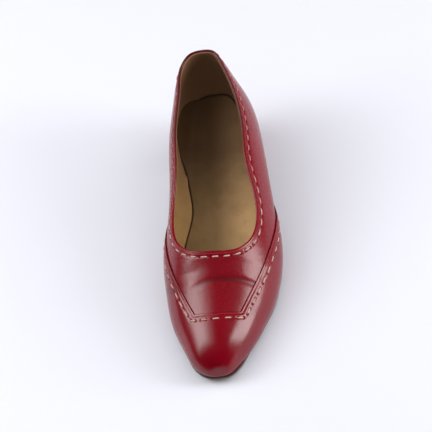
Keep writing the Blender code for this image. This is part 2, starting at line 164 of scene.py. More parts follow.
# The insole's edge keeps this far inside the feather line, clear of the lining. On the insole lies
# the sock. Its medial edge is turned up the lining at the heel, and drawn in along the arch, where
# a fillet of lining lies behind it: station, how far in from the feather line, and how high.
INSOLE_INSET = WALL + 0.6
SOCK = 0.8
SOCK_INSET = INSOLE_INSET + 0.5
SOCK_BACK = 2.0
SOCK_BACK_REACH = 6.0
SockEdge = namedtuple("SockEdge", "station inset turn_up")
SOCK_MEDIAL = [
    SockEdge(0.0, SOCK_INSET, 0.0),
    SockEdge(3.0, SOCK_INSET, 0.6),
    SockEdge(7.0, SOCK_INSET, 3.0),
    SockEdge(13.0, SOCK_INSET, 7.0),
    SockEdge(21.0, SOCK_INSET, 11.0),
    SockEdge(32.0, SOCK_INSET, 14.0),
    SockEdge(42.0, SOCK_INSET, 13.5),
    SockEdge(50.0, SOCK_INSET, 10.3),
    SockEdge(58.0, SOCK_INSET, 6.3),
    SockEdge(68.0, SOCK_INSET, 2.6),
    SockEdge(80.0, 3.5, 0.0),
    SockEdge(90.0, 4.8, 0.0),
    SockEdge(101.0, 6.3, 0.0),
    SockEdge(117.0, 4.7, 0.0),
    SockEdge(130.0, 3.4, 0.0),
    SockEdge(150.0, SOCK_INSET, 0.0),
    SockEdge(LENGTH, SOCK_INSET, 0.0),
]
# The turned-up edge curves over this width, and lies on the lining from this height.
TURN_WIDTH = 10.0
TURN_POWER = 2.2
TURN_START = 5.0
# The fillet: its stations, its height, the groove between it and the sock, how far it keeps from
# the insole's edge, and how far it is tucked under the lining.
FILLET_START = 72.0
FILLET_END = 158.0
FILLET_HEIGHT = 8.0
FILLET_ROUND = 0.5
GROOVE = 0.7
FILLET_CLEAR = 0.2
FILLET_TUCK = 0.1

# Folded edge of the collar: its radius, how wide it is worn, and the stations between which the
# wear fades.
RIM = WALL / 2
RIM_WEAR = 1.6
WEAR_FADES = 55.0
WEAR_ENDS = 120.0

# Lining, sewn in below the fold: its thickness, its distance below the edge and inside the wall,
# how far its cut edge shows, and the share of its thickness left at the edge.
LINING = 0.5
LINING_TOP = 0.7
LINING_CLEAR = 0.03
LINING_CUT = 1.5
LINING_LIP = 0.3

# The toe panel lies this far off the upper, and is pared down to a thinner edge at the seam, which
# is coloured darker over a width and by a share.
PANEL_SEAT = 0.1
PANEL_EDGE = 0.9
PARED_WIDTH = 5.0
PANEL_DARK_WIDTH = 0.5
PANEL_SHADE = 0.4

# Rows of points beside an edge, closer than those of the rest of a sheet.
NEAR = 8.0
NEAR_ROW = 0.45
NEAR_SHARE = 0.6
EDGE_STEP = 0.1
ROUND_STEPS = 6

# Creases pressed in by the foot's bend: x and station of the start, middle and end of the trough,
# its width, its depth, and the height of the ridge pushed up behind it. A depth below zero is a
# fullness instead.
Crease = namedtuple("Crease", "start middle end width depth ridge")
VAMP_CREASES = [
    Crease((-22.0, 187.2), (4.0, 184.5), (36.0, 185.2), 2.0, 0.5, 0.2),
    Crease((13.0, 180.6), (24.0, 181.4), (37.0, 183.4), 1.5, -0.16, 0.0),
    Crease((-30.0, 172.6), (-21.0, 175.0), (-12.0, 176.8), 1.4, 0.13, 0.06),
    Crease((-33.0, 178.0), (-28.0, 180.0), (-21.0, 181.8), 1.4, 0.13, 0.06),
    Crease((-29.0, 185.6), (-24.0, 187.4), (-15.0, 190.0), 1.4, 0.13, 0.06),
    Crease((-17.0, 189.5), (-9.0, 191.0), (-1.0, 192.0), 1.8, 0.10, 0.08),
]
PANEL_CREASES = [
    Crease((-27.0, 182.0), (-33.0, 179.0), (-39.5, 172.0), 2.2, 0.35, 0.25),
    Crease((-29.0, 174.0), (-34.0, 170.0), (-40.0, 162.0), 2.0, 0.28, 0.20),
    Crease((29.0, 180.0), (33.0, 176.5), (38.0, 170.0), 2.6, 0.14, 0.10),
    Crease((14.0, 234.0), (20.0, 220.0), (28.0, 200.0), 6.5, -0.7, 0.0),
]
# The ridge's place behind the trough and its width, in widths of the trough. A crease fades towards
# its ends by a power, and a wide one more softly.
RIDGE_BACK = 3.2
RIDGE_WIDTH = 2.2
CREASE_FADE = 0.6
WIDE_FADE = 0.18
CREASE_POINTS = 81

# Edge of the outsole and of the sock: share of the way down, and how far it is pushed out there.
Edge = namedtuple("Edge", "down push")
SOLE_EDGE = [
    Edge(0.0, -0.45), Edge(0.05, -0.16), Edge(0.13, 0.0), Edge(0.26, 0.02), Edge(0.31, -0.14),
    Edge(0.36, 0.02), Edge(0.6, 0.05), Edge(0.82, 0.0), Edge(0.92, -0.2), Edge(0.97, -0.45),
    Edge(1.0, -0.9),
]
SOCK_EDGE = [
    Edge(0.0, -1.1), Edge(0.04, -0.6), Edge(0.13, -0.28), Edge(0.28, -0.07), Edge(0.5, 0.0),
    Edge(1.0, 0.0),
]
LIFT_EDGE = [Edge(0.0, -0.3), Edge(0.06, 0.0), Edge(0.88, 0.0), Edge(1.0, -0.4)]

# How nearly straight down the tread faces, and how far it may lean to the side.
TREAD_FACING = 0.5
TREAD_LEAN = 0.35

# Counts of points along each piece.
REAR_RIBS = 150
FRONT_RIBS = 170
LINE_POINTS = 160
UPPER_ROWS = 64
PANEL_RIBS = 440
PANEL_ROWS = 56
SOLE_SECTIONS = 240
SOLE_ACROSS = 60
FILLET_SECTIONS = 90
FILLET_STEPS = 12
HEEL_POINTS = 260
HEEL_LEVELS = 40
THREAD_RINGS = 15
THREAD_SIDES = 12

# On the inner side of a sheet, one row in so many is kept away from its edge.
UPPER_THINNING = 5
PANEL_THINNING = 4
LINING_THINNING = 2

# A thread's end dives into its hole by one power and thins by another. Its twist swells it by a
# share, so many half turns from middle to end, and it lies pressed flat by a share.
DIVE_POWER = 6
THIN_POWER = 8
THIN_LEAST = 0.02
TWIST = 0.07
TWIST_TURNS = 3.5
PRESSED = 0.8
# Its holes dent the leather within so many widths of it, and its channel stops so many pitches
# before the end of an open line.
HOLE_REACH = 2
CHANNEL_STOPS = 0.5

# Places along the frame between which the collar's thread turns to its soiled colour, in metres.
DYED_FROM = -0.02
DYED_TO = 0.03

# Length of outline that counts as much as a turn of one radian when an outline is divided evenly.
TURN_RADIUS = 14.0
# Count of readings along a whole line, and the least number that is divided by.
READINGS = 1200
SMALLEST = 1e-6
# Points as close as this are one point at a pinched end, and edges as short as this are closed up.
MERGE = 0.004
COLLAPSED = 0.001
# Faces that meet at more than this angle, in degrees, meet at a sharp edge.
SHARP = 50.0


def spline(knots, values, at):
    """Read a natural cubic through values at knots."""
    knots = np.asarray(knots, float)
    values = np.asarray(values, float)
    flat = values.ndim == 1
    if flat:
        values = values[:, None]
    steps = np.diff(knots)
    slopes = np.diff(values, axis=0) / steps[:, None]
    count = len(knots)
    system = np.eye(count)
    target = np.zeros_like(values)
    for i in range(1, count - 1):
        system[i, i - 1:i + 2] = steps[i - 1], 2 * (steps[i - 1] + steps[i]), steps[i]
        target[i] = 6 * (slopes[i] - slopes[i - 1])
    bend = np.linalg.solve(system, target)
    at = np.asarray(at, float)
    i = np.clip(np.searchsorted(knots, at) - 1, 0, count - 2)
    step = steps[i][:, None]
    past = (at - knots[i])[:, None]
    left = (knots[i + 1] - at)[:, None]
    curve = (bend[i] * left ** 3 + bend[i + 1] * past ** 3) / (6 * step)
    line = (values[i] / step - bend[i] * step / 6) * left
    line += (values[i + 1] / step - bend[i + 1] * step / 6) * past
    result = curve + line
    return result[:, 0] if flat else result


class Last:
    """Form of the upper's outer side, read along the shoe by reach and across it by t.

    Reach runs from 0 at the back of the heel to self.end at the toe. Across a section, t is -1 at
    the medial feather line, 0 at the crown and 1 at the lateral feather line.
    """

    STATION, MEDIAL, LATERAL, FEATHER, CROWN, RIDGE, BULGE = range(7)
    ACROSS = (MEDIAL, LATERAL, RIDGE)

    def __init__(self):
        rows = np.array([self.in_millimetres(section) for section in SECTIONS])
        heel = self.mirrored(rows[2:0:-1], rows[0])
        toe = self.mirrored(rows[-2:-4:-1], rows[-1])
        toe[:, self.CROWN] *= -1
        rows = np.vstack([heel, rows, toe])
        plan = rows[:, [self.STATION, self.LATERAL]]
        lengths = np.hypot(*np.diff(plan, axis=0).T)
        self.knots = np.concatenate([[0.0], np.cumsum(lengths)])
        self.knots -= self.knots[len(heel)]
        self.rows = rows
        self.end = self.knots[-1 - len(toe)]
        self.readings = np.linspace(0.0, self.end, READINGS)
        self.stations = np.maximum.accumulate(self.section(self.readings)[:, self.STATION])

    def in_millimetres(self, section):
        lift = section.seat * SEAT_RISE + section.spring * TOE_SPRING
        return [section.station * LENGTH, -section.medial * BALL_WIDTH, section.lateral * BALL_WIDTH,
                BALL_LEVEL + lift, section.crown * INSTEP, section.ridge, section.bulge]

    def mirrored(self, rows, end):
        """Carry the rows round an end of the last, so that the outline closes smoothly there."""
        rows = rows.copy()
        for column in self.ACROSS:
            rows[:, column] = 2 * end[column] - rows[:, column]
        return rows

    def section(self, reach):
        return spline(self.knots, self.rows, np.atleast_1d(reach))

    def reach_at(self, station):
        return np.interp(station, self.stations, self.readings)

    def feather_height(self, reach):
        return self.section(reach)[:, self.FEATHER]

    def outward(self, reach, side):
        """Unit vector square to the feather line in plan, as x and station parts."""
        delta = self.end / READINGS
        column = self.LATERAL if side > 0 else self.MEDIAL
        change = self.section(np.asarray(reach) + delta) - self.section(np.asarray(reach) - delta)
        normal = np.stack([side * change[:, self.STATION], -side * change[:, column]], axis=1)
        return normal / np.linalg.norm(normal, axis=1)[:, None]

    def feather(self, reach, side):
        """Points of the feather line in plan."""
        rows = self.section(reach)
        across = rows[:, self.LATERAL if side > 0 else self.MEDIAL]
        return np.stack([across, rows[:, self.STATION]], axis=1)

    def wall(self, reach, t):
        """Points of the outer wall, as x, station and height."""
        rows = self.section(reach)
        lateral = t >= 0
        side = np.where(lateral, 1.0, -1.0)
        normal = np.where(lateral[:, None], self.outward(reach, 1), self.outward(reach, -1))
        edge = np.where(lateral, rows[:, self.LATERAL], rows[:, self.MEDIAL])
        angle = (1 - np.abs(t)) * math.pi / 2
        crown = np.maximum(rows[:, self.CROWN], 0.0)
        rise = crown * np.sin(angle)
        swell = rise / np.maximum(np.minimum(BULGE_HEIGHT, BULGE_SHARE * crown), SMALLEST)
        bulge = rows[:, self.BULGE] * swell * (2 - swell) * np.cos(angle)
        half = np.abs(edge - rows[:, self.RIDGE])
        across = rows[:, self.RIDGE] + side * np.cos(angle) * half + normal[:, 0] * bulge
        along = rows[:, self.STATION] + normal[:, 1] * bulge
        return np.stack([across, along, rows[:, self.FEATHER] + rise], axis=1)

    def plan_of(self, reach, t):
        """Place of a wall point in the flat plan, where ribs are straight lines."""
        rows = self.section(reach)
        edge = np.where(t >= 0, rows[:, self.LATERAL], rows[:, self.MEDIAL])
        half = np.abs(edge - rows[:, self.RIDGE])
        across = rows[:, self.RIDGE] + half * np.sin(t * math.pi / 2)
        return np.stack([across, rows[:, self.STATION]], axis=1)

    def wall_over(self, plan):
        """Wall points over places in the flat plan."""
        reach = self.reach_at(plan[:, 1])
        rows = self.section(reach)
        offset = plan[:, 0] - rows[:, self.RIDGE]
        edge = np.where(offset >= 0, rows[:, self.LATERAL], rows[:, self.MEDIAL])
        half = np.maximum(np.abs(edge - rows[:, self.RIDGE]), SMALLEST)
        return self.wall(reach, np.arcsin(np.clip(offset / half, -1, 1)) * 2 / math.pi)


LAST = Last()


def unit(vectors):
    return vectors / np.maximum(np.linalg.norm(vectors, axis=-1), SMALLEST)[..., None]


def lengths_along(lines):
    """Length from the start of each line to each of its points. Points run along the axis before last."""
    steps = np.linalg.norm(np.diff(lines, axis=-2), axis=-1)
    return np.concatenate([np.zeros_like(steps[..., :1]), np.cumsum(steps, axis=-1)], axis=-1)


def along(points, lengths, at):
    """Points at the given lengths along one line."""
    return np.stack([np.interp(at, lengths, points[:, i]) for i in range(points.shape[1])], axis=-1)


def even_shares(points, count):
    """Shares of a plan outline, from 0 to 1, that divide it evenly by length and by turning."""
    steps = np.diff(points, axis=0)
    heading = np.unwrap(np.arctan2(steps[:, 1], steps[:, 0]))
    turning = np.abs(np.gradient(heading))
    measure = np.concatenate([[0.0], np.cumsum(np.hypot(*steps.T) + TURN_RADIUS * turning)])
    return np.interp(np.linspace(0, 1, count + 1), measure / measure[-1], np.linspace(0, 1, len(points)))


def even_reaches(start, stop, count):
    """Reaches from start to stop that divide the lateral feather line evenly."""
    outline = LAST.feather(np.linspace(start, stop, READINGS), 1)
    return start + (stop - start) * even_shares(outline, count)


def collar_t(reach, side):
    """Place of the quarters' top line across each section, steady where the throat begins."""
    stations = np.array([row.station for row in COLLAR])
    across = np.array([row.lateral if side > 0 else row.medial for row in COLLAR])
    knots = np.concatenate([stations, 2 * stations[-1] - stations[-2::-1]])
    values = np.concatenate([across, across[-2::-1]])
    return side * spline(knots, values, LAST.section(reach)[:, LAST.STATION])


def throat(side):
    """Plan of the throat's edge, from the quarters' last row to the middle of the vamp."""
    start = COLLAR[-1].station
    power = THROAT_LATERAL_POWER if side > 0 else THROAT_MEDIAL_POWER
    widest = collar_t(LAST.reach_at(np.array([start])), side)[0]
    angle = np.linspace(0, math.pi / 2, READINGS)
    station = start + (THROAT_STATION - start) * np.sin(angle) ** (2 / power)
    t = widest * np.abs(np.cos(angle)) ** (2 / power)
    plan = LAST.plan_of(LAST.reach_at(station), t)
    plan[:, 1] += THROAT_TILT * plan[:, 0] * np.sin(angle) ** 2
    return plan


def wall_lines(tops, feet):
    """Lines over the wall, straight in plan and closer towards the feather line."""
    share = np.sin(np.linspace(0, math.pi / 2, LINE_POINTS))[:, None]
    plan = tops[:, None] + (feet - tops)[:, None] * share
    return LAST.wall_over(plan.reshape(-1, 2)).reshape(*plan.shape[:2], 3)


def upper_lines():
    """Lines over the upper from collar to feather line, once round the shoe from the heel."""
    join = LAST.reach_at(COLLAR[-1].station)
    rear = even_reaches(0.0, join, REAR_RIBS)
    front = even_reaches(join, LAST.end, FRONT_RIBS)
    down = np.linspace(0, 1, LINE_POINTS)
    sides = []
    for side in (1, -1):
        top = collar_t(rear, side)[:, None]
        across = top + (side - top) * down
        quarter = LAST.wall(np.repeat(rear, LINE_POINTS), across.ravel())
        edge = throat(side)
        lengths = lengths_along(edge)
        tops = along(edge, lengths, np.linspace(0, lengths[-1], FRONT_RIBS + 1))
        feet = LAST.plan_of(front, np.full(len(front), float(side)))
        vamp = wall_lines(tops[1:], feet[1:])
        sides.append(np.concatenate([quarter.reshape(-1, LINE_POINTS, 3), vamp]))
    lateral, medial = sides
    return np.concatenate([lateral, medial[-2:0:-1]])


def seam_plan():
    """Plan of the apron seam from its lateral end, across the front, to its medial end."""
    sides = []
    for rows, side in ((SEAM_LATERAL, 1), (SEAM_MEDIAL, -1)):
        across = np.array([row.across for row in rows])
        t = np.linspace(across[0], across[-1], READINGS // 4)
        station = spline(across, [row.station for row in rows], t)
        sides.append(LAST.plan_of(LAST.reach_at(station), side * t))
    lateral, medial = sides
    share = np.linspace(0, 1, READINGS // 8)[1:-1, None]
    front = lateral[0] + (medial[0] - lateral[0]) * share
    front[:, 1] += 4 * SEAM_FRONT_BOW * (share * (1 - share))[:, 0]
    return np.vstack([lateral[::-1], front, medial])


def panel_lines():
    """Lines over the toe panel from the apron seam to the feather line, lateral end to medial."""
    feet = []
    for rows, side in ((SEAM_LATERAL, 1), (SEAM_MEDIAL, -1)):
        reaches = np.linspace(LAST.reach_at(rows[-1].station), LAST.end, READINGS)
        feet.append(LAST.plan_of(reaches, np.full(READINGS, float(side))))
    lateral, medial = feet
    foot_line = np.vstack([lateral, medial[-2::-1]])
    seam = seam_plan()
    foot_lengths = lengths_along(foot_line)
    seam_lengths = lengths_along(seam)
    evenly = along(foot_line, foot_lengths, np.linspace(0, foot_lengths[-1], READINGS))
    shares = even_shares(evenly, PANEL_RIBS)
    return wall_lines(along(seam, seam_lengths, shares * seam_lengths[-1]),
                      along(foot_line, foot_lengths, shares * foot_lengths[-1]))


def change_round(sheet, closed):
    """Change from each line of a sheet to the next."""
    if closed:
        return np.roll(sheet, -1, axis=0) - np.roll(sheet, 1, axis=0)
    return np.gradient(sheet, axis=0)


def normals_of(sheet, closed):
    """Unit vectors square to a sheet, away from the foot."""
    return unit(np.cross(np.gradient(sheet, axis=1), change_round(sheet, closed)))


def edge_distances(radius):
    """Distances of the rows beside an edge of that radius, fine round it and even after it."""
    turn = np.linspace(0, math.pi / 2, ROUND_STEPS + 1)
    return np.concatenate([radius * (1 - np.cos(turn)), np.arange(radius + NEAR_ROW, NEAR, NEAR_ROW)])


def half_round(distances, radius):
    """Half the thickness of a rounded edge at each distance from its end."""
    inside = np.clip(radius - distances, 0, radius)
    return np.sqrt(radius ** 2 - inside ** 2)


def tree_of(points):
    """Search tree over points."""
    tree = KDTree(len(points))
    for i, point in enumerate(points):
        tree.insert(point, i)
    tree.balance()
    return tree


def distances_from(edge, lines, closed):
    """Distance of every point of the lines from the edge that they start at."""
    ring = np.vstack([edge, edge[:1]]) if closed else edge
    lengths = lengths_along(ring)
    points = along(ring, lengths, np.arange(0, lengths[-1], EDGE_STEP))
    tree = tree_of(points)
    nearest = [tree.find(point)[2] for point in lines.reshape(-1, 3)]
    return np.maximum.accumulate(np.reshape(nearest, lines.shape[:2]), axis=1)


def in_rows(lines, near, far_count, closed):
    """Points in rows: at the near distances from the top edge, then evenly to the feather line."""
    lengths = lengths_along(lines)
    away = np.minimum(distances_from(lines[:, 0], lines, closed), lengths)
    share = np.linspace(0, 1, far_count + 1)[1:]
    rows = []
    for line, length, distance in zip(lines, lengths, away):
        at = np.interp(near, distance, length)
        at *= min(1.0, NEAR_SHARE * length[-1] / at[-1])
        rows.append(along(line, length, np.concatenate([at, at[-1] + (length[-1] - at[-1]) * share])))
    return np.stack(rows)


def crease_relief(sheet, creases, scale):
    """Height of the creases over a sheet: a soft trough, and the ridge pushed up behind it."""
    relief = np.zeros(sheet.shape[:2])
    share = np.linspace(0, 1, CREASE_POINTS)[:, None]
    for crease in creases:
        start, middle, end = np.array([crease.start, crease.middle, crease.end])
        curve = start * (1 - share) * (1 - 2 * share) + middle * 4 * share * (1 - share)
        curve += end * share * (2 * share - 1)
        away = np.linalg.norm(sheet[:, :, None, :2] - curve, axis=-1)
        nearest = away.argmin(axis=-1)
        ahead = np.where(sheet[..., 1] > curve[nearest, 1], 1, -1)
        signed = away.min(axis=-1) * ahead / crease.width
        fade = np.sin(share[nearest, 0] * math.pi) ** max(CREASE_FADE, WIDE_FADE * crease.width)
        trough = crease.depth * np.exp(-signed ** 2)
        ridge = crease.ridge * np.exp(-((signed + RIDGE_BACK) / RIDGE_WIDTH) ** 2)
        relief += scale * fade * (ridge - trough)
    return relief


def stitch_centres(line, closed, pitch):
    """A line, the lengths along it, and where on it evenly spaced stitches have their middles.

    An open line has none at its very ends, where the leather is too narrow to sew.
    """
    points = np.vstack([line, line[:1]]) if closed else line
    lengths = lengths_along(points)
    count = max(3, round(lengths[-1] / pitch))
    middles = (np.arange(count) + 0.5) * lengths[-1] / count
    return points, lengths, middles if closed else middles[1:-1]


def pricked(sheet, distances, sewing, closed, stitching):
    """Depth of the channel in which a row of saddle stitches lies, and of the holes it goes into."""
    row = sewing_row(distances, sewing)
    points, lengths, centres = stitch_centres(sheet[:, row], closed, stitching.pitch)
    ends = np.concatenate([centres - stitching.length / 2, centres + stitching.length / 2])
    holes = along(points, lengths, ends)
    relief = np.zeros(sheet.shape[:2])
    beside = np.abs(distances - sewing)
    relief -= stitching.channel * np.exp(-(beside / stitching.width) ** 2)
    for i in np.flatnonzero(beside < HOLE_REACH * stitching.width):
        away = np.linalg.norm(sheet[:, i, None] - holes, axis=-1).min(axis=1)
        relief[:, i] -= stitching.hole_depth * np.exp(-(away / stitching.hole_radius) ** 2)
    if not closed:
        from_end = np.minimum(lengths, lengths[-1] - lengths)
        relief *= np.clip(from_end / stitching.pitch - CHANNEL_STOPS, 0, 1)[:, None]
    return relief


def sewing_row(distances, sewing):
    """Row of a sheet that lies nearest to a line of sewing."""
    return int(np.abs(distances - sewing).argmin())


Stitching = namedtuple("Stitching", "pitch length width rise sink slant channel hole_radius hole_depth")
Face = namedtuple("Face", "sheet smooth normals distances relief")


def saddle_stitching(settings, pitch):
    """Sizes of the saddle stitches, in millimetres."""
    return Stitching(pitch / MM, settings.length / MM, settings.width / MM,
                     rise=0.12, sink=0.8, slant=0.06, channel=0.16, hole_radius=0.7, hole_depth=0.5)


def machine_stitching(settings):
    """Sizes of the machine stitches, in millimetres."""
    return Stitching(settings.machine_pitch / MM, settings.machine_length / MM,
                     settings.machine_width / MM,
                     rise=-0.02, sink=0.25, slant=0.0, channel=0.12, hole_radius=0.3, hole_depth=0.0)


def row_distances(near, count):
    """Distance of every row of a sheet from its edge. Rows beyond the near ones count as far away."""
    return np.concatenate([near, np.full(count, 10 * NEAR)])


@lru_cache(maxsize=None)
def upper_face(saddle, machine, collar_saddle, collar_machine, crease_scale):
    """Outer face of the upper, with its creases and the channels of its sewing."""
    near = edge_distances(RIM)
    sheet = in_rows(upper_lines(), near, UPPER_ROWS, True)
    distances = row_distances(near, UPPER_ROWS)
    normals = normals_of(sheet, True)
    creased = crease_relief(sheet, VAMP_CREASES, crease_scale)
    smooth = sheet + normals * creased[..., None]
    sewn = pricked(smooth, distances, collar_saddle, True, saddle)
    sewn += pricked(smooth, distances, collar_machine, True, machine)
    return Face(smooth + normals * sewn[..., None], smooth, normals, distances, creased)


@lru_cache(maxsize=None)
def panel_face(saddle, machine, seam_saddle, seam_machine, crease_scale):
    """Outer face of the toe panel, pared and rounded at the seam, with creases and channels."""
    near = edge_distances(PANEL_EDGE / 2)
    base = in_rows(panel_lines(), near, PANEL_ROWS, False)
    distances = row_distances(near, PANEL_ROWS)
    normals = normals_of(base, False)
    creased = crease_relief(base, PANEL_CREASES, crease_scale)
    pared = np.clip(distances / PARED_WIDTH, 0, 1)
    pared = pared * pared * (3 - 2 * pared)
    full = PANEL_GAP + PANEL - PANEL_SEAT
    thickness = PANEL_EDGE + (full - PANEL_EDGE) * pared
    thickness -= PANEL_EDGE / 2 - half_round(distances, PANEL_EDGE / 2)
    smooth = above_feather(base + normals * (PANEL_SEAT + thickness + creased)[..., None])
    sewn = pricked(smooth, distances, seam_saddle, False, saddle)
    sewn += pricked(smooth, distances, seam_machine, False, machine)
    return Face(above_feather(smooth + normals * sewn[..., None]), smooth, normals, distances, creased)


def thinned(far_rows, total, step):
    """Rows that a sheet's inner side keeps: those beside its edge but the first, and some far ones."""
    near = total - far_rows
    return np.unique(np.concatenate([np.arange(1, near), np.arange(near, total, step), [total - 1]]))


def above_feather(sheet):
    """Keep a sheet's lower edge from hanging below the feather line."""
    floor = LAST.feather_height(LAST.reach_at(sheet[..., 1].ravel())).reshape(sheet.shape[:2])
    sheet[..., 2] = np.maximum(sheet[..., 2], floor)
    return sheet


def sole_profile(reaches):
    """Stand-out on each side, thickness and cut-back of the outsole at each reach."""
    stations = LAST.section(reaches)[:, LAST.STATION]
    columns = np.array(SOLE_EDGES)
    sides = [spline(columns[:, 0], columns[:, i], stations) for i in (1, 2)]
    return sides + [np.interp(stations, columns[:, 0], columns[:, i]) for i in (3, 4)]


def sole_underside(reaches):
    thickness = sole_profile(reaches)[2]
    return np.maximum(LAST.feather_height(reaches) - GAP - thickness, 0.0)


def slab_rings(reaches, edge, stand_out, cut_back, top, bottom):
    """Rings round a slab that follows the feather line, one for each reach.

    Its edge stands out past the feather line by one amount on the medial side, and by another on
    the lateral side.
    """
    edge = np.array(edge)
    rows = []
    for side, past in zip((-1, 1), stand_out):
        out = past[:, None] - cut_back[:, None] * edge[:, 0] + edge[:, 1]
        outward = LAST.outward(reaches, side)[:, None]
        plan = LAST.feather(reaches, side)[:, None] + outward * out[..., None]
        height = top[:, None] + (bottom - top)[:, None] * edge[:, 0]
        rows.append(np.concatenate([plan, height[..., None]], axis=2))
    medial, lateral = rows
    for end in (0, -1):
        medial[end] = lateral[end] = (medial[end] + lateral[end]) / 2
    share = np.linspace(0, 1, SOLE_ACROSS + 1)[1:-1, None]
    over = medial[:, :1] + (lateral[:, :1] - medial[:, :1]) * share
    under = lateral[:, -1:] + (medial[:, -1:] - lateral[:, -1:]) * share
    return np.concatenate([over, lateral, under, medial[:, ::-1]], axis=1)


def sock_edge(reaches):
    """How far in the sock's medial edge lies, and how far it is turned up, at each reach."""
    stations = LAST.section(reaches)[:, LAST.STATION]
    columns = np.array(SOCK_MEDIAL)
    inset, turn_up = (spline(columns[:, 0], columns[:, i], stations) for i in (1, 2))
    return np.maximum(inset, SOCK_INSET) + sock_back(stations), np.maximum(turn_up, 0)


def sock_back(stations):
    """How much further in the sock's round back lies."""
    return SOCK_BACK * np.exp(-(stations / SOCK_BACK_REACH) ** 2)


def wall_offset(reaches, height):
    """How far the medial wall stands out past the feather line at a height above it."""
    crown = LAST.section(reaches)[:, LAST.CROWN]
    t = 2 / math.pi * np.arcsin(np.clip(height / np.maximum(crown, SMALLEST), 0, 1)) - 1
    out = LAST.wall(reaches, t)[:, :2] - LAST.feather(reaches, -1)
    return np.sum(out * LAST.outward(reaches, -1), axis=1)


def fillet_rings():
    """Rings of the fillet between the lining and the sock's edge along the arch."""
    reaches = np.linspace(LAST.reach_at(FILLET_START), LAST.reach_at(FILLET_END), FILLET_SECTIONS)
    inset = sock_edge(reaches)[0] - GROOVE
    foot = -np.maximum(inset, INSOLE_INSET + FILLET_CLEAR)
    high = INSOLE + FILLET_HEIGHT * np.sin(np.linspace(0, math.pi, FILLET_SECTIONS)) ** FILLET_ROUND
    backing = WALL + LINING / 2
    wall = wall_offset(reaches, high) - backing
    corner = np.full(len(reaches), -backing)
    low = np.full(len(reaches), INSOLE - SOCK)
    level = np.full(len(reaches), float(INSOLE))
    share = np.linspace(0, 1, FILLET_STEPS + 1)[:, None]
    bend = (1 - share) ** 2, 2 * share * (1 - share), share ** 2
    out = bend[0] * foot + bend[1] * corner + bend[2] * wall
    height = bend[0] * level + bend[1] * level + bend[2] * high
    out = np.vstack([out, corner - FILLET_TUCK, foot]).T
    height = np.vstack([height, low, low]).T + LAST.feather_height(reaches)[:, None]
    plan = LAST.feather(reaches, -1)[:, None] + LAST.outward(reaches, -1)[:, None] * out[..., None]
    return np.concatenate([plan, height[..., None]], axis=2)


def heel_outlines():
    """Plan of the heel's top and of its foot, once round from the breast, and the seat's height."""
    reaches = even_reaches(0.0, LAST.reach_at(BREAST_TOP), HEEL_POINTS)
    stand_out, _, _, cut_back = sole_profile(reaches)
    inset = stand_out - cut_back - HEEL_INSET
    sides = []
    for side in (1, -1):
        sides.append(LAST.feather(reaches, side) + LAST.outward(reaches, side) * inset[:, None])
    lateral, medial = sides
    middle = (lateral[:, 0] + medial[:, 0]) / 2
    back = lateral[0, 1]
    feet = []
    for points in sides:
        station = BACK_FOOT + (points[:, 1] - back) / (BREAST_TOP - back) * (BREAST_FOOT - BACK_FOOT)
        feet.append(np.stack([middle + (points[:, 0] - middle) * FOOT_WIDTH, station], axis=1))
    seat = sole_underside(reaches) - GAP
    top = np.vstack([np.column_stack([lateral, seat])[::-1], np.column_stack([medial, seat])[1:]])
    foot = np.vstack([feet[0][::-1], feet[1][1:]])
    return top, np.column_stack([foot, np.full(len(foot), LIFT + GAP)])


def closed_outline(points, count, corner):
    """Close an outline across its breast, divide it evenly and round its corners a little."""
    closed = np.vstack([points, points[:1]])
    lengths = lengths_along(closed)
    at = np.arange(count) / count * lengths[-1]
    ring = along(closed, lengths, at)
    reach = max(1, round(corner / lengths[-1] * count))
    for _ in range(2):
        ring = np.mean([np.roll(ring, shift, axis=0) for shift in range(-reach, reach + 1)], axis=0)
    return ring


def drawn_in(ring, distance):
    """Move a flat closed outline inwards, square to itself."""
    heading = unit(np.roll(ring, -1, axis=0) - np.roll(ring, 1, axis=0))
    turn = np.sum(ring[:, 0] * np.roll(ring[:, 1], -1) - np.roll(ring[:, 0], -1) * ring[:, 1])
    inward = np.stack([-heading[:, 1], heading[:, 0], np.zeros(len(ring))], axis=1)
    return ring + inward * distance * np.sign(turn)


def place_in_frame():
    """Place of the last's centre line and heel seat in the frame, read from the lift and the insole."""
    low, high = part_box("top_lift")
    foot = heel_outlines()[1]
    middle = (foot[0, 0] + foot[-1, 0]) / 2
    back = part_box("insole")[1].y + INSOLE_INSET * MM
    return np.array([(low.x + high.x) / 2 - middle * MM, back, 0.0])


PLACE = place_in_frame()


def in_frame(points):
    """Turn x, station and height into the frame's x, y and z, in metres."""
    points = np.asarray(points)
    return np.stack([points[..., 0], -points[..., 1], points[..., 2]], axis=-1) * MM + PLACE


def skin(name, rings, closed=False, pinched=False):
    """Closed mesh over rings of points.

    Closed rings go once round the shoe. Otherwise a pinched end has no width and closes by
    itself, and any other end is filled from its middle.
    """
    count, around = rings.shape[:2]
    points = in_frame(rings).reshape(-1, 3)
    here = np.arange(count * around).reshape(count, around)
    there = np.roll(here, -1, axis=0)
    if not closed:
        here, there = here[:-1], there[:-1]
    faces = np.stack([here, there, np.roll(there, -1, 1), np.roll(here, -1, 1)], axis=-1).reshape(-1, 4)
    faces = faces.tolist()
    if not (closed or pinched):
        for first in (0, (count - 1) * around):
            middle = len(points)
            points = np.vstack([points, points[first:first + around].mean(axis=0)])
            faces += [(first + i, first + (i + 1) % around, middle) for i in range(around)]
    mesh = bmesh.new()
    verts = [mesh.verts.new(point) for point in points]
    for face in faces:
        mesh.faces.new([verts[i] for i in face])
    if pinched:
        bmesh.ops.remove_doubles(mesh, verts=mesh.verts[:], dist=MERGE * MM)
    bmesh.ops.recalc_face_normals(mesh, faces=mesh.faces[:])
    data = bpy.data.meshes.new(name)
    mesh.to_mesh(data)
    mesh.free()
    return data


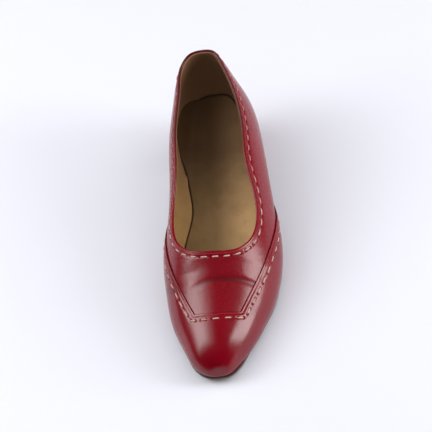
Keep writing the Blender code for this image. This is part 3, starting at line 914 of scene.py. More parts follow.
def mark(data, name, values):
    """Keep a number for each point of a mesh, for its finish to read."""
    attribute = data.attributes.new(name, "FLOAT", "POINT")
    attribute.data.foreach_set("value", np.asarray(values, np.float32).ravel())


def distances_to(data, points):
    """Distance of every point of a mesh from the nearest of some others."""
    tree = tree_of(points)
    return [tree.find(vertex.co)[2] for vertex in data.vertices]


def add_piece(data, material, replaces=None):
    """Put a mesh into the scene as a piece of the shoe."""
    mesh = bmesh.new()
    mesh.from_mesh(data)
    bmesh.ops.dissolve_degenerate(mesh, dist=COLLAPSED * MM, edges=mesh.edges[:])
    mesh.to_mesh(data)
    mesh.free()
    piece = bpy.data.objects.new(data.name, data)
    bpy.context.scene.collection.objects.link(piece)
    data.materials.append(material)
    data.shade_smooth()
    data.set_sharp_from_angle(angle=math.radians(SHARP))
    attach(piece, BODY)
    if replaces:
        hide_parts(replaces)


def thread_rings(face, row, closed, stitching):
    """Rings round each stitch of a row that follows a face."""
    points, lengths, centres = stitch_centres(face.smooth[:, row], closed, stitching.pitch)
    normals = face.normals[:, row]
    normals = np.vstack([normals, normals[:1]]) if closed else normals
    u = np.sin(np.linspace(-0.5, 0.5, THREAD_RINGS) * math.pi)
    at = centres[:, None] + u * stitching.length / 2
    path = along(points, lengths, at)
    out = unit(along(normals, lengths, at))
    slant = np.cross(unit(np.gradient(path, axis=1)), out) * (stitching.slant * u)[:, None]
    path += slant + out * (stitching.rise - (stitching.rise + stitching.sink) * u ** DIVE_POWER)[:, None]
    heading = unit(np.gradient(path, axis=1))
    side = unit(np.cross(heading, out))
    over = np.cross(side, heading)
    around = np.linspace(0, 2 * math.pi, THREAD_SIDES, endpoint=False)
    twist = 1 + TWIST * np.cos(2 * around + TWIST_TURNS * math.pi * u[:, None])
    thick = np.sqrt(np.maximum(1 - u ** THIN_POWER, THIN_LEAST))[:, None] * twist * stitching.width / 2
    rings = path[:, :, None] + side[:, :, None] * (thick * np.cos(around))[..., None]
    return rings + over[:, :, None] * (PRESSED * thick * np.sin(around))[..., None]


def thread_mesh(name, stitches):
    """One mesh of many stitches, each closed at both ends."""
    count, rings, sides = stitches.shape[:3]
    index = np.arange(rings * sides).reshape(rings, sides)
    here, there = index[:-1], index[1:]
    wall = np.stack([here, np.roll(here, -1, 1), np.roll(there, -1, 1), there], axis=-1).reshape(-1, 4)
    faces = []
    for stitch in range(count):
        first = stitch * rings * sides
        faces += (wall + first).tolist()
        faces.append((index[0, ::-1] + first).tolist())
        faces.append((index[-1] + first).tolist())
    data = bpy.data.meshes.new(name)
    data.from_pydata(in_frame(stitches).reshape(-1, 3), [], faces)
    mesh = bmesh.new()
    mesh.from_mesh(data)
    bmesh.ops.recalc_face_normals(mesh, faces=mesh.faces[:])
    mesh.to_mesh(data)
    mesh.free()
    return data


class Value:
    """A socket of a finish, with arithmetic that adds Math nodes to its tree."""

    def __init__(self, finish, socket):
        self.finish = finish
        self.socket = socket

    def maths(self, operation, *values):
        return self.finish.node("ShaderNodeMath", {"operation": operation}, dict(enumerate(values)))

    def __add__(self, other):
        return self.maths("ADD", self, other)

    __radd__ = __add__

    def __sub__(self, other):
        return self.maths("SUBTRACT", self, other)

    def __rsub__(self, other):
        return self.maths("SUBTRACT", other, self)

    def __mul__(self, other):
        return self.maths("MULTIPLY", self, other)

    __rmul__ = __mul__


class Finish:
    """A material under the brush: nodes are added to it and fed to its shader."""

    def __init__(self, name):
        self.material = bpy.data.materials.new(name)
        self.material.use_nodes = True
        self.tree = self.material.node_tree
        self.shader = self.tree.nodes["Principled BSDF"]
        self.place = self.node("ShaderNodeTexCoord", output="Object")

    def node(self, kind, settings=None, inputs=None, output=0):
        """Add a node: its settings first, then the values or links of its sockets."""
        node = self.tree.nodes.new(kind)
        for name, value in (settings or {}).items():
            setattr(node, name, value)
        for name, value in (inputs or {}).items():
            self.connect(node.inputs[name], value)
        return Value(self, node.outputs[output])

    def connect(self, socket, value):
        if isinstance(value, Value):
            self.tree.links.new(value.socket, socket)
        else:
            socket.default_value = value

    def feed(self, **values):
        """Values or links for the shader's own sockets, named with _ for a space."""
        for name, value in values.items():
            self.connect(self.shader.inputs[name.replace("_", " ")], value)

    def noise(self, size, detail=2.0, roughness=0.5):
        """Noise with spots of a size in metres, from 0 to 1."""
        inputs = {"Vector": self.place, "Scale": 1 / size, "Detail": detail, "Roughness": roughness}
        return self.node("ShaderNodeTexNoise", inputs=inputs)

    def cells(self, size):
        """Distance to the middle of the nearest of many small cells of a size in metres."""
        inputs = {"Vector": self.place, "Scale": 1 / size}
        return self.node("ShaderNodeTexVoronoi", inputs=inputs)

    def kept(self, name):
        """A number that a mesh keeps for each point."""
        return self.node("ShaderNodeAttribute", {"attribute_name": name}, output="Fac")

    def axis(self, name):
        """One coordinate of the frame, in metres."""
        return self.node("ShaderNodeSeparateXYZ", inputs={"Vector": self.place}, output=name)

    def ramp(self, value, start, stop):
        """Smooth rise from 0 at start to 1 at stop."""
        inputs = {"Value": value, "From Min": start, "From Max": stop}
        return self.node("ShaderNodeMapRange", {"interpolation_type": "SMOOTHSTEP"}, inputs)

    def blend(self, share, first, second):
        """Colour between two others."""
        first, second = (c if isinstance(c, Value) else (*c, 1.0) for c in (first, second))
        inputs = {"Factor": share, 6: first, 7: second}
        return self.node("ShaderNodeMix", {"data_type": "RGBA"}, inputs, output=2)

    def bump(self, height, depth, strength=1.0, normal=None):
        """Normal of a surface with a relief of the given depth in metres."""
        inputs = {"Height": height, "Distance": depth, "Strength": strength}
        if normal is not None:
            inputs["Normal"] = normal
        return self.node("ShaderNodeBump", inputs=inputs)


def calf_finish(name, leather, flexed=0.0):
    """Polished red calf: clear deep colour, fine pores and a soft gloss, with shade painted darker into
    its creases.

    Flexed is how far the foot's bending has dulled and crinkled it.
    """
    finish = Finish(name)
    cloud = finish.ramp(finish.noise(28 * MM, 3.0), 0.3, 0.7)
    pores = finish.noise(0.45 * MM, 2.0)
    scuffs = finish.ramp(finish.noise(7 * MM, 6.0, 0.7), 0.56, 0.78)
    trough = finish.ramp(finish.kept("trough"), 0.03, 0.42)
    darkened_edge = finish.kept("darkened_edge")
    colour = finish.blend(cloud * 0.6, leather.colour, leather.deep_colour)
    # Painted shade: the creases' troughs are blended towards a darker red.
    colour = finish.blend(trough * 0.75, colour, leather.crease_shade_colour)
    colour = finish.blend(scuffs * 0.12, colour, leather.worn_colour)
    colour = finish.blend(darkened_edge * 0.8, colour, leather.edge_colour)
    roughness = leather.roughness + leather.dulling * flexed
    finish.feed(Base_Color=colour, Roughness=roughness + 0.08 * pores + 0.1 * scuffs + 0.06 * trough)
    finish.feed(Coat_Weight=leather.polish, Coat_Roughness=leather.polish_roughness, IOR=1.48)
    grain = finish.bump(pores, 0.02 * MM, 0.5)
    crinkle = (0.12 + 0.1 * flexed) * MM
    finish.feed(Normal=finish.bump(finish.noise(5.5 * MM, 2.0), crinkle, 0.5, grain))
    return finish.material


def lining_finish(name, inside):
    """Thin tan lining leather, browner and greyer towards the heel."""
    finish = Finish(name)
    toward_heel = finish.ramp(finish.axis("Y"), inside.heel_dark_from, inside.heel_dark_to)
    cloud = finish.noise(16 * MM, 4.0, 0.6)
    colour = finish.blend(toward_heel, inside.lining_colour, inside.lining_heel_colour)
    colour = finish.blend(finish.ramp(cloud, 0.42, 0.75) * 0.35, colour, inside.stain_colour)
    colour = finish.blend(finish.kept("cut"), colour, inside.cut_colour)
    finish.feed(Base_Color=colour, Roughness=0.48 + 0.2 * cloud, Specular_IOR_Level=0.2)
    grain = finish.bump(finish.cells(0.9 * MM), 0.05 * MM, 0.35)
    finish.feed(Normal=finish.bump(finish.noise(6 * MM, 3.0), 0.2 * MM, 0.4, grain))
    return finish.material


def sock_finish(inside):
    """Sock leather, olive tan forward and darker towards the heel, painted paler on its lateral side as
    if lit, and with shade painted along its edge.
    """
    finish = Finish("sock_leather")
    cloud = finish.noise(20 * MM, 5.0, 0.6)
    toward_heel = finish.ramp(finish.axis("Y") + 0.03 * cloud, inside.heel_dark_from, inside.heel_dark_to)
    rubbed = finish.ramp(finish.noise(9 * MM, 6.0, 0.65), 0.5, 0.72)
    medial = finish.blend(toward_heel, inside.sock_colour, inside.sock_heel_colour)
    # Painted light: the lateral side is painted paler, as the light from the left falls on it, and the
    # medial side is left darker, as in the medial wall's shade.
    lateral = finish.blend(toward_heel, inside.lit_side_colour, inside.lit_heel_colour)
    toward_lit_side = finish.ramp(finish.axis("X"), inside.lit_side_from, inside.lit_side_to)
    colour = finish.blend(toward_lit_side, medial, lateral)
    colour = finish.blend(rubbed * 0.35 * (1 - toward_heel), colour, inside.rubbed_colour)
    trodden = finish.ramp(finish.noise(15 * MM, 4.0, 0.6), 0.42, 0.68)
    colour = finish.blend(trodden * 0.2, colour, inside.trodden_colour)
    # Painted shade: a dark line along the sock's edges, where the gap beside them lies in shade, darkest
    # along the arch and again at the back.
    line = finish.ramp(finish.kept("from_edge"), 1.2 * MM, 0.4 * MM)
    open_part = finish.ramp(finish.axis("Y"), inside.edge_shade_fades, inside.edge_shade_starts)
    back_part = finish.ramp(finish.axis("Y"), inside.edge_shade_returns, inside.edge_shade_returns + 8 * MM)
    colour = finish.blend(line * (0.15 + 0.7 * open_part + 0.35 * back_part), colour, inside.edge_shade_colour)
    finish.feed(Base_Color=colour, Roughness=0.42 + 0.25 * cloud, Specular_IOR_Level=0.2)
    grain = finish.bump(finish.cells(1.1 * MM), 0.06 * MM, 0.3)
    finish.feed(Normal=finish.bump(finish.noise(11 * MM, 3.0), 0.3 * MM, 0.4, grain))
    return finish.material


def thread_finish(name, colour, shade):
    """Twisted thread, a little dirty, and reddened by the leather along the quarters."""
    finish = Finish(name)
    fluff = finish.noise(0.5 * MM, 3.0)
    soil = finish.ramp(finish.noise(6 * MM, 3.0), 0.35, 0.75)
    dyed = finish.ramp(finish.axis("Y"), DYED_FROM, DYED_TO)
    colour = finish.blend(soil * 0.6 * (1 - dyed) + dyed, colour, shade)
    finish.feed(Base_Color=colour, Roughness=0.62 + 0.2 * fluff)
    finish.feed(Normal=finish.bump(fluff, 0.06 * MM, 0.5))
    return finish.material


def edge_finish(name, sole):
    """Dark waxed edge of the leather sole, with the lines of its layers."""
    finish = Finish(name)
    layers = finish.noise(1.6 * MM, 4.0, 0.65)
    scraped = finish.ramp(finish.noise(8 * MM, 5.0, 0.7), 0.55, 0.75)
    colour = finish.blend(scraped * 0.35, sole.edge_colour, sole.scraped_colour)
    finish.feed(Base_Color=colour, Roughness=0.34 + 0.25 * layers)
    finish.feed(Normal=finish.bump(layers, 0.08 * MM, 0.4))
    return finish.material


def tread_finish(sole):
    """Underside of the sole: bare leather, rubbed grey where it meets the ground."""
    finish = Finish("sole_tread")
    fibres = finish.noise(1.2 * MM, 5.0, 0.65)
    rubbed = finish.ramp(finish.axis("Z"), 4 * MM, 0.0)
    spots = finish.ramp(finish.noise(10 * MM, 6.0, 0.7), 0.4, 0.7)
    colour = finish.blend(rubbed * (0.3 + 0.5 * spots), sole.tread_colour, sole.rubbed_colour)
    finish.feed(Base_Color=colour, Roughness=0.55 + 0.25 * fibres)
    finish.feed(Normal=finish.bump(fibres, 0.15 * MM, 0.4))
    return finish.material


def rubber_finish(sole):
    """Black rubber of the top lift, ground dull underneath."""
    finish = Finish("lift_rubber")
    specks = finish.noise(0.8 * MM, 4.0, 0.7)
    ground = finish.ramp(finish.axis("Z"), 1.2 * MM, 0.0)
    colour = finish.blend(ground * 0.5 + 0.15 * specks, sole.rubber_colour, sole.ground_colour)
    finish.feed(Base_Color=colour, Roughness=0.58 + 0.25 * specks)
    finish.feed(Normal=finish.bump(specks, 0.08 * MM, 0.4))
    return finish.material


def floor_finish(stage):
    """Matt white paper floor."""
    finish = Finish("studio_floor")
    cloud = finish.noise(0.4, 2.0)
    shade = tuple(0.985 * part for part in stage.floor_colour)
    finish.feed(Base_Color=finish.blend(cloud, stage.floor_colour, shade), Roughness=0.72 + 0.05 * cloud)
    return finish.material


def colour_property(name, description, default):
    return bpy.props.FloatVectorProperty(name=name, description=description, default=default,
                                         subtype="COLOR", size=3, min=0.0, max=1.0)


def length_property(name, description, default):
    return bpy.props.FloatProperty(name=name, description=description, default=default * MM,
                                   unit="LENGTH", precision=4)


def share_property(name, description, default, high=1.0):
    return bpy.props.FloatProperty(name=name, description=description, default=default, min=0.0,
                                   max=high, subtype="FACTOR")


class CourtShoeLeather(bpy.types.PropertyGroup):
    """Finish of the red calf."""

    colour: colour_property("Colour", "Red of the leather", (0.205, 0.0004, 0.0072))
    deep_colour: colour_property("Deep colour", "Deeper red of its clouds", (0.165, 0.0003, 0.0052))
    # Painted shade: the darker red painted into the creases' troughs.
    crease_shade_colour: colour_property("Crease colour", "Red in the creases", (0.085, 0.0003, 0.0035))
    worn_colour: colour_property("Worn colour", "Red where it is rubbed", (0.27, 0.008, 0.017))
    edge_colour: colour_property("Edge colour", "Brownish red of worn edges", (0.06, 0.010, 0.009))
    roughness: share_property("Roughness", "Roughness of the leather under its polish", 0.18)
    dulling: share_property("Dulling", "Roughness added where the leather is flexed", 0.05)
    polish: share_property("Polish", "Amount of wax polish", 0.1)
    polish_roughness: share_property("Polish roughness", "Softness of the polish's gloss", 0.18)
    creasing: share_property("Creasing", "Depth of the creases", 1.0, 2.0)


class CourtShoeStitching(bpy.types.PropertyGroup):
    """Sizes and threads of the sewing."""

    collar_pitch: length_property("Collar pitch", "Distance between the collar's saddle stitches", 8.5)
    seam_pitch: length_property("Seam pitch", "Distance between the seam's saddle stitches", 9.3)
    length: length_property("Length", "Length of a saddle stitch", 4.6)
    width: length_property("Width", "Thickness of the saddle thread", 1.05)
    collar_inset: length_property("Collar inset", "Saddle stitches below the collar", 4.2)
    seam_inset: length_property("Seam inset", "Saddle stitches outside the apron seam", 4.9)
    machine_pitch: length_property("Machine pitch", "Distance between machine stitches", 2.3)
    machine_length: length_property("Machine length", "Length of a machine stitch", 2.0)
    machine_width: length_property("Machine width", "Thickness of the machine thread", 0.42)
    machine_inset: length_property("Machine inset", "Machine stitches beside an edge", 1.7)
    colour: colour_property("Saddle thread", "Colour of the saddle thread", (0.60, 0.43, 0.36))
    shade: colour_property("Soiled thread", "Colour of the thread where it is soiled", (0.42, 0.20, 0.17))
    machine_colour: colour_property("Machine thread", "Colour of the machine thread", (0.36, 0.03, 0.045))


class CourtShoeInside(bpy.types.PropertyGroup):
    """Finish of the lining and the sock."""

    lining_colour: colour_property("Lining", "Colour of the lining at the waist", (0.43, 0.26, 0.105))
    lining_heel_colour: colour_property(
        "Lining at the heel", "Colour at the counter", (0.26, 0.15, 0.085))
    stain_colour: colour_property("Stain", "Colour of soft stains", (0.24, 0.14, 0.055))
    cut_colour: colour_property("Cut edge", "Colour of the lining's cut edge", (0.50, 0.24, 0.13))
    sock_colour: colour_property("Sock", "Colour of the sock forward", (0.25, 0.155, 0.068))
    sock_heel_colour: colour_property(
        "Sock at the heel", "Colour where the heel stood", (0.072, 0.038, 0.017))
    # Painted light on the sock's lateral side, forward and at the heel, and the places across where it
    # starts and is full.
    lit_side_colour: colour_property("Pale sock", "Colour forward on the lateral side", (0.62, 0.40, 0.19))
    lit_heel_colour: colour_property(
        "Pale heel", "Colour of the heel's lateral side", (0.21, 0.125, 0.06))
    lit_side_from: length_property("Pale from", "Place across where the sock starts to pale", -8.0)
    lit_side_to: length_property("Pale to", "Place across where the sock is palest", 20.0)
    rubbed_colour: colour_property("Rubbed sock", "Colour of rubbed spots", (0.19, 0.115, 0.05))
    trodden_colour: colour_property("Trodden sock", "Colour of trodden patches", (0.10, 0.052, 0.022))
    # Painted shade along the sock's edge, and the places along the shoe where it is dark, where it has
    # faded and where it shows again.
    edge_shade_colour: colour_property("Sock line", "Dirt along the sock's edge", (0.022, 0.012, 0.006))
    edge_shade_starts: length_property("Line starts", "Place along the shoe where the line is dark", 56.0)
    edge_shade_fades: length_property("Line fades", "Place along the shoe where the line has faded", 76.0)
    edge_shade_returns: length_property("Line returns", "Place at the back where the line shows again", 103.0)
    # Places along the shoe between which the sock and the lining turn darker towards the heel.
    heel_dark_from: length_property("Wear starts", "Place along the shoe where the heel's wear starts", 12.0)
    heel_dark_to: length_property("Wear full", "Place along the shoe where the heel's wear is full", 90.0)


class CourtShoeSole(bpy.types.PropertyGroup):
    """Finish of the sole and the top lift."""

    edge_colour: colour_property("Edge", "Colour of the sole's edge", (0.05, 0.024, 0.018))
    scraped_colour: colour_property(
        "Scraped edge", "Colour where the edge is scraped", (0.09, 0.06, 0.045))
    tread_colour: colour_property("Tread", "Colour of the underside", (0.30, 0.19, 0.10))
    rubbed_colour: colour_property(
        "Rubbed tread", "Colour where it meets the ground", (0.13, 0.105, 0.085))
    rubber_colour: colour_property("Top lift", "Colour of the rubber", (0.018, 0.016, 0.015))
    ground_colour: colour_property("Ground rubber", "Colour where it is ground", (0.06, 0.056, 0.052))


class CourtShoeStage(bpy.types.PropertyGroup):
    """Floor, light and camera."""

    floor_colour: colour_property("Floor", "Colour of the floor", (0.80, 0.81, 0.885))
    air_colour: colour_property("Air", "Colour of the room's light", (0.90, 0.93, 1.0))
    air: bpy.props.FloatProperty(name="Air strength", description="Strength of the room's light",
                                 default=0.015)
    azimuth: bpy.props.FloatProperty(name="Azimuth", description="Camera's turn from the toe",
                                     default=math.radians(12.99), subtype="ANGLE")
    elevation: bpy.props.FloatProperty(name="Elevation", description="Camera's height over the floor",
                                       default=math.radians(49.55), subtype="ANGLE")
    roll: bpy.props.FloatProperty(name="Roll", description="Camera's roll",
                                  default=math.radians(-17.85), subtype="ANGLE")
    distance: bpy.props.FloatProperty(name="Distance", description="Camera's distance", default=2.2917,
                                      unit="LENGTH")
    lens: bpy.props.FloatProperty(name="Lens", description="Focal length in millimetres", default=261.2)


class COURTSHOE_OT_upper(bpy.types.Operator):
    """Make the upper's leather with its folded collar, and the lining inside it"""

    bl_idname = "court_shoe.upper"
    bl_label = "Upper and lining"

    def execute(self, context):
        face = upper_face_of(context.scene)
        distances = face.distances
        half = half_round(distances, RIM)
        outer = face.sheet - face.normals * (RIM - half)[:, None]
        inner = face.smooth - face.normals * (RIM + half)[:, None]
        kept = thinned(UPPER_ROWS, len(distances), UPPER_THINNING)
        rings = np.concatenate([outer[:, ::-1], inner[:, kept]], axis=1)
        data = skin("upper_leather", rings, closed=True)
        # Depth of the creases, which the finish reads for its painted crease shade and its roughness.
        trough = np.maximum(-face.relief, 0)
        mark(data, "trough", np.concatenate([trough[:, ::-1], 0 * trough[:, kept]], axis=1))
        wear = np.exp(-(distances / RIM_WEAR) ** 2)
        behind = np.interp(face.smooth[:, 0, 1], [WEAR_FADES, WEAR_ENDS], [1.0, 0.0])
        mark(data, "darkened_edge", np.outer(behind, np.concatenate([wear[::-1], wear[kept]])))
        leather = context.scene.court_shoe_leather
        add_piece(data, calf_finish("upper_calf", leather, 1.0), replaces="upper")
        self.line(context, face)
        return {"FINISHED"}

    def line(self, context, face):
        """Lining, sewn in below the fold and reaching down to the sock."""
        total = len(face.distances)
        near = total - UPPER_ROWS
        below = np.flatnonzero(face.distances[:near] >= LINING_TOP)[::LINING_THINNING]
        rows = np.unique(np.concatenate([below, np.arange(near, total, LINING_THINNING), [total - 1]]))
        sheet, normals = face.smooth[:, rows], face.normals[:, rows]
        radius = LINING / 2
        edge = np.minimum(half_round(np.arange(len(rows)) * radius, radius), radius)
        edge[0] = LINING_LIP * radius
        middle = WALL + LINING_CLEAR + radius
        backs = sheet - normals * (middle - edge)[:, None]
        fronts = sheet - normals * (middle + edge)[:, None]
        rings = np.concatenate([backs[:, ::-1], fronts], axis=1)
        data = skin("lining", rings, closed=True)
        cut = 1.0 * (face.distances[rows] < LINING_CUT)
        mark(data, "cut", np.tile(np.concatenate([cut[::-1], cut]), len(rings)))
        add_piece(data, lining_finish("lining_leather", context.scene.court_shoe_inside))


def upper_face_of(scene):
    stitching = scene.court_shoe_stitching
    saddle = saddle_stitching(stitching, stitching.collar_pitch)
    return upper_face(saddle, machine_stitching(stitching), stitching.collar_inset / MM,
                      stitching.machine_inset / MM, scene.court_shoe_leather.creasing)


def panel_face_of(scene):
    stitching = scene.court_shoe_stitching
    saddle = saddle_stitching(stitching, stitching.seam_pitch)
    return panel_face(saddle, machine_stitching(stitching), stitching.seam_inset / MM,
                      stitching.machine_inset / MM, scene.court_shoe_leather.creasing)


class COURTSHOE_OT_toe_panel(bpy.types.Operator):
    """Make the wing-shaped toe panel that is lapped over the upper"""

    bl_idname = "court_shoe.toe_panel"
    bl_label = "Toe panel"

    def execute(self, context):
        face = panel_face_of(context.scene)
        radius = PANEL_EDGE / 2
        near = len(face.distances) - PANEL_ROWS
        base = in_rows(panel_lines(), face.distances[:near], PANEL_ROWS, False)
        under = radius - half_round(face.distances, radius)
        backs = above_feather(base + face.normals * (PANEL_SEAT + under)[:, None])
        kept = thinned(PANEL_ROWS, len(under), PANEL_THINNING)
        rings = np.concatenate([face.sheet[:, ::-1], backs[:, kept]], axis=1)
        data = skin("toe_panel_leather", rings)
        # Depth of the creases, which the finish reads for its painted crease shade and its roughness.
        trough = np.maximum(-face.relief, 0)
        marks = np.concatenate([trough[:, ::-1], 0 * trough[:, kept]], axis=1).ravel()
        mark(data, "trough", np.concatenate([marks, [0.0, 0.0]]))
        # The panel's edge is coloured darker over this width.
        wear = PANEL_SHADE * np.exp(-(face.distances / PANEL_DARK_WIDTH) ** 2)
        marks = np.tile(np.concatenate([wear[::-1], wear[kept]]), len(rings))
        mark(data, "darkened_edge", np.concatenate([marks, [0.0, 0.0]]))
        leather = context.scene.court_shoe_leather
        add_piece(data, calf_finish("panel_calf", leather), replaces="toe_panel")
        return {"FINISHED"}


class COURTSHOE_OT_stitching(bpy.types.Operator):
    """Sew the saddle stitches and machine stitches of the collar and of the apron seam"""

    bl_idname = "court_shoe.stitching"
    bl_label = "Stitching"

    def execute(self, context):
        settings = context.scene.court_shoe_stitching
        collar = saddle_stitching(settings, settings.collar_pitch)
        seam = saddle_stitching(settings, settings.seam_pitch)
        machine = machine_stitching(settings)
        light = thread_finish("saddle_thread", settings.colour, settings.shade)
        red = thread_finish("machine_thread", settings.machine_colour, settings.machine_colour)
        upper = upper_face_of(context.scene), True, "upper_leather"
        panel = panel_face_of(context.scene), False, "panel_leather"
        rows = [
            ("collar_saddle_stitches", upper, settings.collar_inset, collar, light),
            ("apron_saddle_stitches", panel, settings.seam_inset, seam, light),
            ("collar_machine_stitches", upper, settings.machine_inset, machine, red),
            ("apron_machine_stitches", panel, settings.machine_inset, machine, red),
        ]
        for name, (face, closed, slot), inset, stitching, thread in rows:
            row = sewing_row(face.distances, inset / MM)
            add_piece(thread_mesh(name, thread_rings(face, row, closed, stitching)), thread)
        return {"FINISHED"}


class COURTSHOE_OT_sock(bpy.types.Operator):
    """Lay the sock inside the shoe"""

    bl_idname = "court_shoe.sock"
    bl_label = "Sock"

    def execute(self, context):
        inside = context.scene.court_shoe_inside
        reaches = even_reaches(0.0, LAST.end, SOLE_SECTIONS)
        straight = np.zeros(len(reaches))
        bottom = LAST.feather_height(reaches)
        inset = np.full(len(reaches), -INSOLE_INSET)
        top = bottom + INSOLE - SOCK
        rings = slab_rings(reaches, SOCK_EDGE, (inset, inset), straight, top, bottom)
        board = edge_finish("insole_edge", context.scene.court_shoe_sole)
        add_piece(skin("insole_board", rings, pinched=True), board, replaces="insole")
        inset, turn_up = sock_edge(reaches)
        medial = wall_offset(reaches, INSOLE + turn_up) * np.clip(turn_up / TURN_START, 0, 1) - inset
        lateral = -SOCK_INSET - sock_back(LAST.section(reaches)[:, LAST.STATION])
        rings = slab_rings(reaches, SOCK_EDGE, (medial, lateral), straight, bottom + INSOLE, top)
        edge = LAST.feather(reaches, -1) + LAST.outward(reaches, -1) * medial[:, None]
        away = np.linalg.norm(rings[..., :2] - edge[:, None], axis=-1)
        rings[..., 2] += turn_up[:, None] * np.clip(1 - away / TURN_WIDTH, 0, 1) ** TURN_POWER
        data = skin("sock", rings, pinched=True)
        widest = max(range(len(SOCK_EDGE)), key=lambda i: SOCK_EDGE[i].push)
        sides = rings[:, SOLE_ACROSS - 1 + widest], rings[:, -1 - widest]
        # Distance from the sock's edges, for the shade painted along them.
        mark(data, "from_edge", distances_to(data, in_frame(np.vstack(sides))))
        add_piece(data, sock_finish(inside))
        data = skin("arch_fillet", fillet_rings())
        mark(data, "cut", np.zeros(len(data.vertices)))
        add_piece(data, lining_finish("fillet_leather", inside))
        return {"FINISHED"}


class COURTSHOE_OT_outsole(bpy.types.Operator):
    """Make the leather sole with its waxed edge and bare tread"""

    bl_idname = "court_shoe.outsole"
    bl_label = "Outsole"

    def execute(self, context):
        reaches = even_reaches(0.0, LAST.end, SOLE_SECTIONS)
        medial, lateral, _, cut_back = sole_profile(reaches)
        top = LAST.feather_height(reaches) - GAP
        sides = (medial, lateral)
        rings = slab_rings(reaches, SOLE_EDGE, sides, cut_back, top, sole_underside(reaches))
        data = skin("outsole_leather", rings, pinched=True)
        sole = context.scene.court_shoe_sole
        add_piece(data, edge_finish("sole_edge", sole), replaces="outsole")
        data.materials.append(tread_finish(sole))
        for face in data.polygons:
            tread = face.normal.z < -TREAD_FACING and abs(face.normal.x) < TREAD_LEAN
            face.material_index = int(tread)
        return {"FINISHED"}


class COURTSHOE_OT_heel(bpy.types.Operator):
    """Make the covered heel and the rubber lift that it stands on"""

    bl_idname = "court_shoe.heel"
    bl_label = "Heel and top lift"

    def execute(self, context):
        top, foot = (closed_outline(line, HEEL_POINTS, HEEL_CORNER) for line in heel_outlines())
        share = np.linspace(0, 1, HEEL_LEVELS + 1)[:, None, None]
        hollow = 1 - (1 - share) ** HEEL_HOLLOW
        rings = top + (foot - top) * np.concatenate([hollow, hollow, share], axis=2)
        data = skin("heel_cover", rings)
        for name in ("trough", "darkened_edge"):
            mark(data, name, np.zeros(len(data.vertices)))
        leather = context.scene.court_shoe_leather
        add_piece(data, calf_finish("heel_calf", leather), replaces="heel")
        lift = []
        for edge in LIFT_EDGE:
            ring = drawn_in(foot, -edge.push)
            ring[:, 2] = LIFT * (1 - edge.down)
            lift.append(ring)
        data = skin("top_lift_rubber", np.array(lift))
        add_piece(data, rubber_finish(context.scene.court_shoe_sole), replaces="top_lift")
        return {"FINISHED"}


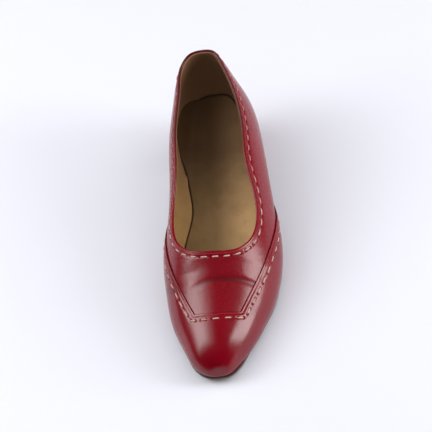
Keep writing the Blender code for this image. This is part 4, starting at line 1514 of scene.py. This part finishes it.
class COURTSHOE_OT_stage(bpy.types.Operator):
    """Set up the floor, the lights and the camera"""

    bl_idname = "court_shoe.stage"
    bl_label = "Studio"

    # Softboxes: turn and height seen from the shoe in degrees, distance and sides in metres, watts.
    # Those that don't shine light the room without showing in the leather's gloss.
    Softbox = namedtuple("Softbox", "name azimuth elevation distance width height watts shines")
    SOFTBOXES = [
        Softbox("left_heart", -92.0, 36.0, 1.35, 0.42, 0.5, 1.8, True),
        Softbox("left_softbox", -95.0, 38.0, 1.4, 0.75, 0.85, 5.0, True),
        Softbox("left_glow", -98.0, 42.0, 1.45, 1.3, 1.4, 7.5, True),
        Softbox("right_softbox", 82.0, 19.0, 1.5, 0.5, 0.9, 12.0, True),
        Softbox("right_fill", 100.0, 38.0, 2.2, 1.8, 1.8, 18.0, False),
        Softbox("ceiling", 0.0, 89.0, 2.0, 3.0, 3.0, 32.0, False),
    ]
    FLOOR_SIZE = 8.0
    FLOOR_SQUARES = 8
    AIM = Vector((PLACE[0], 0.0, 0.038))

    def execute(self, context):
        stage = context.scene.court_shoe_stage
        self.lay_floor(stage)
        for softbox in self.SOFTBOXES:
            self.hang(softbox)
        self.fill_air(context.scene, stage)
        self.set_camera(context.scene, stage)
        context.scene.view_settings.view_transform = "Standard"
        return {"FINISHED"}

    def toward(self, azimuth, elevation):
        """Direction from the shoe, with azimuth 0 in front of the toe."""
        flat = math.cos(elevation)
        return Vector((math.sin(azimuth) * flat, -math.cos(azimuth) * flat, math.sin(elevation)))

    def lay_floor(self, stage):
        mesh = bmesh.new()
        bmesh.ops.create_grid(mesh, x_segments=self.FLOOR_SQUARES, y_segments=self.FLOOR_SQUARES,
                              size=self.FLOOR_SIZE / 2)
        data = bpy.data.meshes.new("studio_floor")
        mesh.to_mesh(data)
        mesh.free()
        data.materials.append(floor_finish(stage))
        floor = bpy.data.objects.new("studio_floor", data)
        bpy.context.scene.collection.objects.link(floor)

    def hang(self, softbox):
        lamp = bpy.data.lights.new(softbox.name, "AREA")
        lamp.shape = "RECTANGLE"
        lamp.size = softbox.width
        lamp.size_y = softbox.height
        lamp.energy = softbox.watts
        holder = bpy.data.objects.new(softbox.name, lamp)
        bpy.context.scene.collection.objects.link(holder)
        out = self.toward(math.radians(softbox.azimuth), math.radians(softbox.elevation))
        holder.visible_glossy = softbox.shines
        holder.location = self.AIM + out * softbox.distance
        holder.rotation_euler = out.to_track_quat("Z", "Y").to_euler()

    def fill_air(self, scene, stage):
        world = bpy.data.worlds.new("studio_air")
        world.use_nodes = True
        sky = world.node_tree.nodes["Background"]
        sky.inputs["Color"].default_value = (*stage.air_colour, 1.0)
        sky.inputs["Strength"].default_value = stage.air
        scene.world = world

    def set_camera(self, scene, stage):
        data = bpy.data.cameras.new("camera")
        data.lens = stage.lens
        data.sensor_width = 36.0
        data.clip_start = 0.1
        data.clip_end = 20.0
        camera = bpy.data.objects.new("camera", data)
        scene.collection.objects.link(camera)
        out = self.toward(stage.azimuth, stage.elevation)
        turn = out.to_track_quat("Z", "Y").to_matrix().to_4x4()
        place = Matrix.Translation(self.AIM + out * stage.distance)
        camera.matrix_world = place @ turn @ Matrix.Rotation(stage.roll, 4, "Z")
        scene.camera = camera


OPERATORS = (
    COURTSHOE_OT_upper,
    COURTSHOE_OT_toe_panel,
    COURTSHOE_OT_stitching,
    COURTSHOE_OT_sock,
    COURTSHOE_OT_outsole,
    COURTSHOE_OT_heel,
    COURTSHOE_OT_stage,
)

GROUPS = {
    "court_shoe_leather": CourtShoeLeather,
    "court_shoe_stitching": CourtShoeStitching,
    "court_shoe_inside": CourtShoeInside,
    "court_shoe_sole": CourtShoeSole,
    "court_shoe_stage": CourtShoeStage,
}


class COURTSHOE_PT_panel(bpy.types.Panel):
    """Settings and steps of the court shoe"""

    bl_idname = "COURTSHOE_PT_panel"
    bl_label = "Court Shoe"
    bl_space_type = "VIEW_3D"
    bl_region_type = "UI"
    bl_category = "Court Shoe"

    def draw(self, context):
        for name, group in GROUPS.items():
            box = self.layout.box()
            settings = getattr(context.scene, name)
            for setting in group.__annotations__:
                box.prop(settings, setting)
        for operator in OPERATORS:
            self.layout.operator(operator.bl_idname)


def register():
    for group in GROUPS.values():
        bpy.utils.register_class(group)
    for name, group in GROUPS.items():
        setattr(bpy.types.Scene, name, bpy.props.PointerProperty(type=group))
    for item in (*OPERATORS, COURTSHOE_PT_panel):
        bpy.utils.register_class(item)


def unregister():
    for item in (COURTSHOE_PT_panel, *reversed(OPERATORS)):
        bpy.utils.unregister_class(item)
    for name in GROUPS:
        delattr(bpy.types.Scene, name)
    for group in reversed(GROUPS.values()):
        bpy.utils.unregister_class(group)


def main():
    register()
    bpy.ops.court_shoe.upper()
    bpy.ops.court_shoe.toe_panel()
    bpy.ops.court_shoe.stitching()
    bpy.ops.court_shoe.sock()
    bpy.ops.court_shoe.outsole()
    bpy.ops.court_shoe.heel()
    bpy.ops.court_shoe.stage()


if __name__ == "__main__":
    main()
